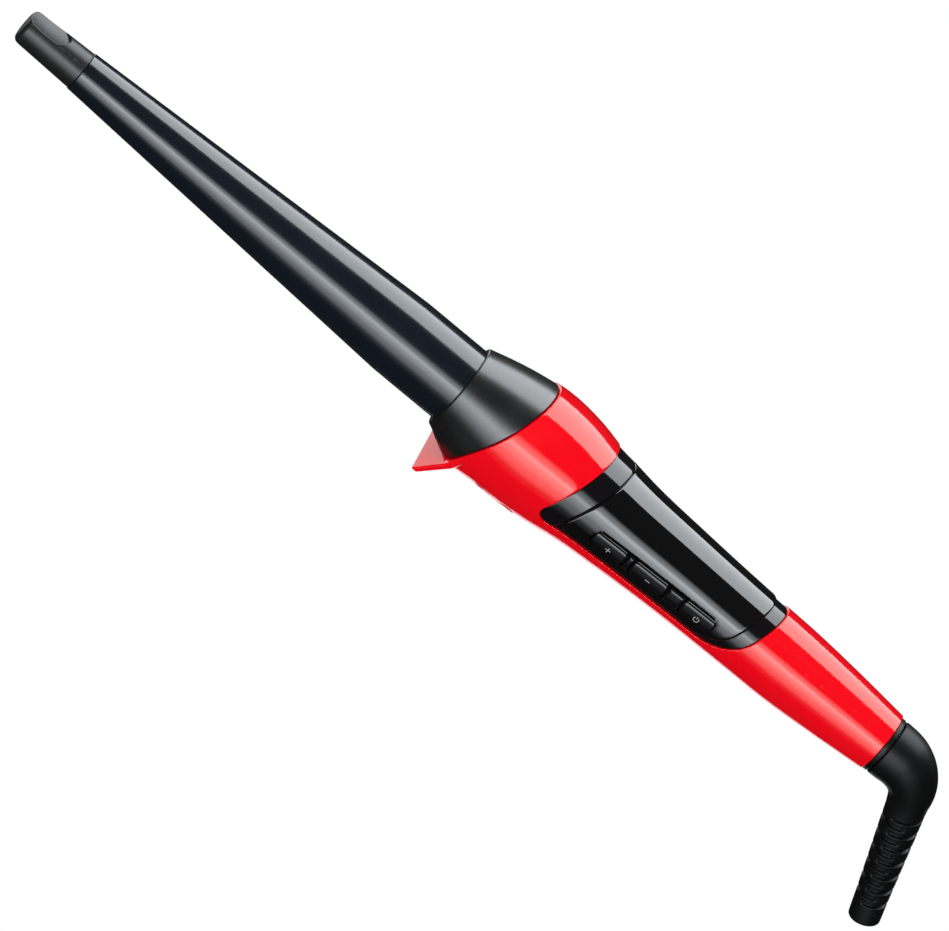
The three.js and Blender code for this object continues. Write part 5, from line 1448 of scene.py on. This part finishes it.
screw_pattern = bpy.data.objects.new("screw_pattern", screw_mesh())
bpy.context.scene.collection.objects.link(screw_pattern)
screw_places = bpy.data.meshes.new("screw_places")
screw_places.from_pydata((np.array(seats) * 0.001).tolist(), [], [])
screw_base = bpy.data.objects.new("screw_places", screw_places)
bpy.context.scene.collection.objects.link(screw_base)
screws = facing_out(grown("housing_screws", screw_tree(), {
    "Screw": screw_pattern, "Turn": SCREW_TURN, "Finish": turned_steel,
}, source=screw_base))
bpy.data.objects.remove(screw_pattern)
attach(screws, "wand")
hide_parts("housing_screw_1", "housing_screw_2", "housing_screw_3")

# ---- Swivel washer and cord boot -----------------------------------------------------------
# The cord's strain relief: a soft matt black PVC elbow that turns on the swivel, with a slotted
# sleeve whose staggered half rings let it flex. A rounded washer closes its joint with the red.

SWIVEL_Z = -2.0
WASHER_FRONT_X = HANDLE_REAR_X - 0.04
WASHER_REAR_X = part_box("swivel_washer")[0].x * 1000
WASHER_RADIUS = 9.3
WASHER_ROUNDING = 0.35
WASHER_BORE = 5.5
WASHER_BORE_ROUNDING = 0.2
WASHER_LIP_RADIUS = 8.4
WASHER_LIP_ROUNDING = 0.1
BOOT_JOINT = 0.3
BOOT_FRONT_X = WASHER_REAR_X - BOOT_JOINT
BOOT_STRAIGHT = 3.6
BOOT_BEND_RADIUS = 12.5
BOOT_BEND = math.radians(70)
SLEEVE_LENGTH = 45.0
BOOT_WALL = 1.15
SLOT_PITCH = 5.3
SLOT_WIDTH = 1.5
SLOT_DEPTH = 1.0
SLOT_START = 24.5
SLOT_END = 58.0
BOOT_SIDES = 96
# The boot's outline: distance along its line, radius.
BOOT_OUTLINE = [
    (0.0, 8.75), (0.12, 9.0), (0.35, 9.22), (0.7, 9.3), (1.5, 9.3), (3.6, 9.25), (6.6, 9.0),
    (10.5, 8.4), (14.5, 7.6), (18.0, 6.85), (20.5, 6.4), (23.0, 6.15), (30.0, 5.95),
    (45.0, 5.4), (56.0, 5.05), (62.7, 4.9), (63.3, 4.85), (63.65, 4.65), (63.8, 4.4),
]

soft_black = paint_of(
    "soft_black", (0.0018, 0.0019, 0.0021), (0.0026, 0.0028, 0.0030), (0.38, 0.46), (2400, 0.008),
    wear=(0.008, 0.008, 0.008), shine=0.2,
)

# The ring's rear edge reaches back under the boot's rounded front and shuts the joint.
# A rounding below zero is one of the bore's edges.
ring_profile = arc(
    BOOT_FRONT_X + WASHER_LIP_ROUNDING, WASHER_LIP_RADIUS - WASHER_LIP_ROUNDING,
    WASHER_LIP_ROUNDING, 90, 180, 3,
)
for edge_x, edge_radius, rounding, start in (
    (BOOT_FRONT_X + WASHER_BORE_ROUNDING, WASHER_BORE, -WASHER_BORE_ROUNDING, 180),
    (WASHER_FRONT_X - WASHER_BORE_ROUNDING, WASHER_BORE, -WASHER_BORE_ROUNDING, 270),
    (WASHER_FRONT_X - WASHER_ROUNDING, WASHER_RADIUS, WASHER_ROUNDING, 0),
    (WASHER_REAR_X + WASHER_ROUNDING, WASHER_RADIUS, WASHER_ROUNDING, 90),
):
    ring_profile += arc(edge_x, edge_radius - rounding, abs(rounding), start, start + 90, 5)
ring_profile += [(WASHER_REAR_X, WASHER_LIP_RADIUS)]
washer_points, washer_faces = turned(ring_profile, 120, closed=True)
washer_points[:, 2] += SWIVEL_Z
washer = facing_out(surface_object("washer_ring", washer_points, washer_faces, soft_black))
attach(washer, "cord_swivel")
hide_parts("swivel_washer")


def boot_line_point(run):
    """Where the boot's line is at a distance along it."""
    bend_end = BOOT_STRAIGHT + BOOT_BEND_RADIUS * BOOT_BEND
    if run <= BOOT_STRAIGHT:
        return (BOOT_FRONT_X - run, 0.0, SWIVEL_Z)
    angle = min(run - BOOT_STRAIGHT, bend_end - BOOT_STRAIGHT) / BOOT_BEND_RADIUS
    x = BOOT_FRONT_X - BOOT_STRAIGHT - BOOT_BEND_RADIUS * math.sin(angle)
    z = SWIVEL_Z - BOOT_BEND_RADIUS * (1 - math.cos(angle))
    past = max(run - bend_end, 0.0)
    return (x - past * math.cos(angle), 0.0, z - past * math.sin(angle))


BOOT_LENGTH = BOOT_STRAIGHT + BOOT_BEND_RADIUS * BOOT_BEND + SLEEVE_LENGTH
runs = np.concatenate([
    np.linspace(0, 1.5, 16), np.linspace(1.8, 23.5, 60), np.linspace(23.65, 59.5, 300),
    np.linspace(59.8, BOOT_LENGTH - 1.2, 8), np.linspace(BOOT_LENGTH - 1.0, BOOT_LENGTH, 14),
])
outline_run = np.array([s for s, _ in BOOT_OUTLINE]) * BOOT_LENGTH / BOOT_OUTLINE[-1][0]
outline_radius = np.array([r for _, r in BOOT_OUTLINE])
boot_curve = bpy.data.curves.new("boot_line", "CURVE")
boot_curve.dimensions = "3D"
spline = boot_curve.splines.new("POLY")
spline.points.add(len(runs) - 1)
for point, run in zip(spline.points, runs):
    point.co = (*(0.001 * c for c in boot_line_point(run)), 1)
    point.radius = float(np.interp(run, outline_run, outline_radius)) * 0.001
boot_base = bpy.data.objects.new("boot_line", boot_curve)
bpy.context.scene.collection.objects.link(boot_base)


def sleeve_tree():
    """A tube along the given line at its own radius, with rows of half-ring slots pressed in on
    its two sides in turn."""
    tree = bpy.data.node_groups.new("slotted_sleeve", "GeometryNodeTree")
    face = tree.interface
    face.new_socket("Geometry", in_out="INPUT", socket_type="NodeSocketGeometry")
    for name in ("Pitch", "Slot Width", "Slot Depth", "Slots From", "Slots To"):
        face.new_socket(name, in_out="INPUT", socket_type="NodeSocketFloat")
    face.new_socket("Sides", in_out="INPUT", socket_type="NodeSocketInt")
    face.new_socket("Finish", in_out="INPUT", socket_type="NodeSocketMaterial")
    face.new_socket("Geometry", in_out="OUTPUT", socket_type="NodeSocketGeometry")
    given = tree.nodes.new("NodeGroupInput").outputs
    run = tree.nodes.new("GeometryNodeSplineParameter").outputs["Length"]
    keep_run = tree.nodes.new("GeometryNodeCaptureAttribute")
    keep_run.capture_items.new("FLOAT", "Run")
    keep_heading = tree.nodes.new("GeometryNodeCaptureAttribute")
    keep_heading.capture_items.new("VECTOR", "Heading")
    heading = tree.nodes.new("GeometryNodeInputTangent")
    ring = tree.nodes.new("GeometryNodeCurvePrimitiveCircle")
    ring.inputs["Radius"].default_value = 1.0
    tube = tree.nodes.new("GeometryNodeCurveToMesh")
    link_all(
        tree,
        (given["Geometry"], keep_run.inputs["Geometry"]),
        (run, keep_run.inputs["Run"]),
        (keep_run.outputs["Geometry"], keep_heading.inputs["Geometry"]),
        (heading.outputs[0], keep_heading.inputs["Heading"]),
        (keep_heading.outputs["Geometry"], tube.inputs["Curve"]),
        (given["Sides"], ring.inputs["Resolution"]),
        (ring.outputs[0], tube.inputs["Profile Curve"]),
    )
    if "Scale" in tube.inputs:
        size = tree.nodes.new("GeometryNodeInputRadius")
        tree.links.new(size.outputs[0], tube.inputs["Scale"])
    side = tree.nodes.new("ShaderNodeVectorMath")
    side.operation = "CROSS_PRODUCT"
    side.inputs[1].default_value = (0, 1, 0)
    tree.links.new(keep_heading.outputs["Heading"], side.inputs[0])
    normal = tree.nodes.new("GeometryNodeInputNormal").outputs[0]
    lean = tree.nodes.new("ShaderNodeVectorMath")
    lean.operation = "DOT_PRODUCT"
    tree.links.new(side.outputs[0], lean.inputs[0])
    tree.links.new(normal, lean.inputs[1])
    towards = lean.outputs["Value"]
    along = keep_run.outputs["Run"]
    press = 0.0
    for shift, sign in ((0.0, 1.0), (0.5, -1.0)):
        steps = math_in(tree, "DIVIDE", math_in(tree, "SUBTRACT", along, given["Slots From"]),
                        given["Pitch"])
        cycle = math_in(tree, "FRACT", math_in(tree, "ADD", steps, 10.0 + shift))
        from_middle = math_in(tree, "MULTIPLY", math_in(
            tree, "ABSOLUTE", math_in(tree, "SUBTRACT", cycle, 0.5)), given["Pitch"])
        band = tree.nodes.new("ShaderNodeMapRange")
        band.interpolation_type = "SMOOTHSTEP"
        tree.links.new(from_middle, band.inputs["Value"])
        half = math_in(tree, "MULTIPLY", given["Slot Width"], 0.5)
        tree.links.new(math_in(tree, "MULTIPLY", half, 0.8), band.inputs["From Min"])
        tree.links.new(math_in(tree, "MULTIPLY", half, 1.15), band.inputs["From Max"])
        band.inputs["To Min"].default_value = 1.0
        band.inputs["To Max"].default_value = 0.0
        reach = tree.nodes.new("ShaderNodeMapRange")
        reach.interpolation_type = "SMOOTHSTEP"
        tree.links.new(math_in(tree, "MULTIPLY", towards, sign), reach.inputs["Value"])
        reach.inputs["From Min"].default_value = -0.42
        reach.inputs["From Max"].default_value = -0.22
        press = math_in(tree, "ADD", press, math_in(
            tree, "MULTIPLY", band.outputs["Result"], reach.outputs["Result"]))
    after = math_in(tree, "GREATER_THAN", along, given["Slots From"])
    before = math_in(tree, "LESS_THAN", along, given["Slots To"])
    press = math_in(tree, "MINIMUM", press, 1.0)
    press = math_in(tree, "MULTIPLY", press, math_in(tree, "MULTIPLY", after, before))
    depth = math_in(tree, "MULTIPLY", math_in(tree, "MULTIPLY", press, given["Slot Depth"]), -1.0)
    push = tree.nodes.new("ShaderNodeVectorMath")
    push.operation = "SCALE"
    moved = tree.nodes.new("GeometryNodeSetPosition")
    smooth = tree.nodes.new("GeometryNodeSetShadeSmooth")
    real = tree.nodes.new("GeometryNodeRealizeInstances")
    painted = tree.nodes.new("GeometryNodeSetMaterial")
    out = tree.nodes.new("NodeGroupOutput")
    link_all(
        tree,
        (normal, push.inputs[0]),
        (depth, push.inputs["Scale"]),
        (tube.outputs[0], moved.inputs["Geometry"]),
        (push.outputs[0], moved.inputs["Offset"]),
        (moved.outputs[0], smooth.inputs["Geometry"]),
        (smooth.outputs[0], real.inputs[0]),
        (real.outputs[0], painted.inputs["Geometry"]),
        (given["Finish"], painted.inputs["Material"]),
        (painted.outputs[0], out.inputs[0]),
    )
    return tree


boot = grown("cord_boot", sleeve_tree(), {
    "Pitch": SLOT_PITCH * 0.001,
    "Slot Width": SLOT_WIDTH * 0.001,
    "Slot Depth": SLOT_DEPTH * 0.001,
    "Slots From": SLOT_START * 0.001,
    "Slots To": SLOT_END * 0.001,
    "Sides": BOOT_SIDES,
    "Finish": soft_black,
}, source=boot_base)
add_wall(boot, BOOT_WALL)
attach(boot, "cord_swivel")
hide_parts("boot")
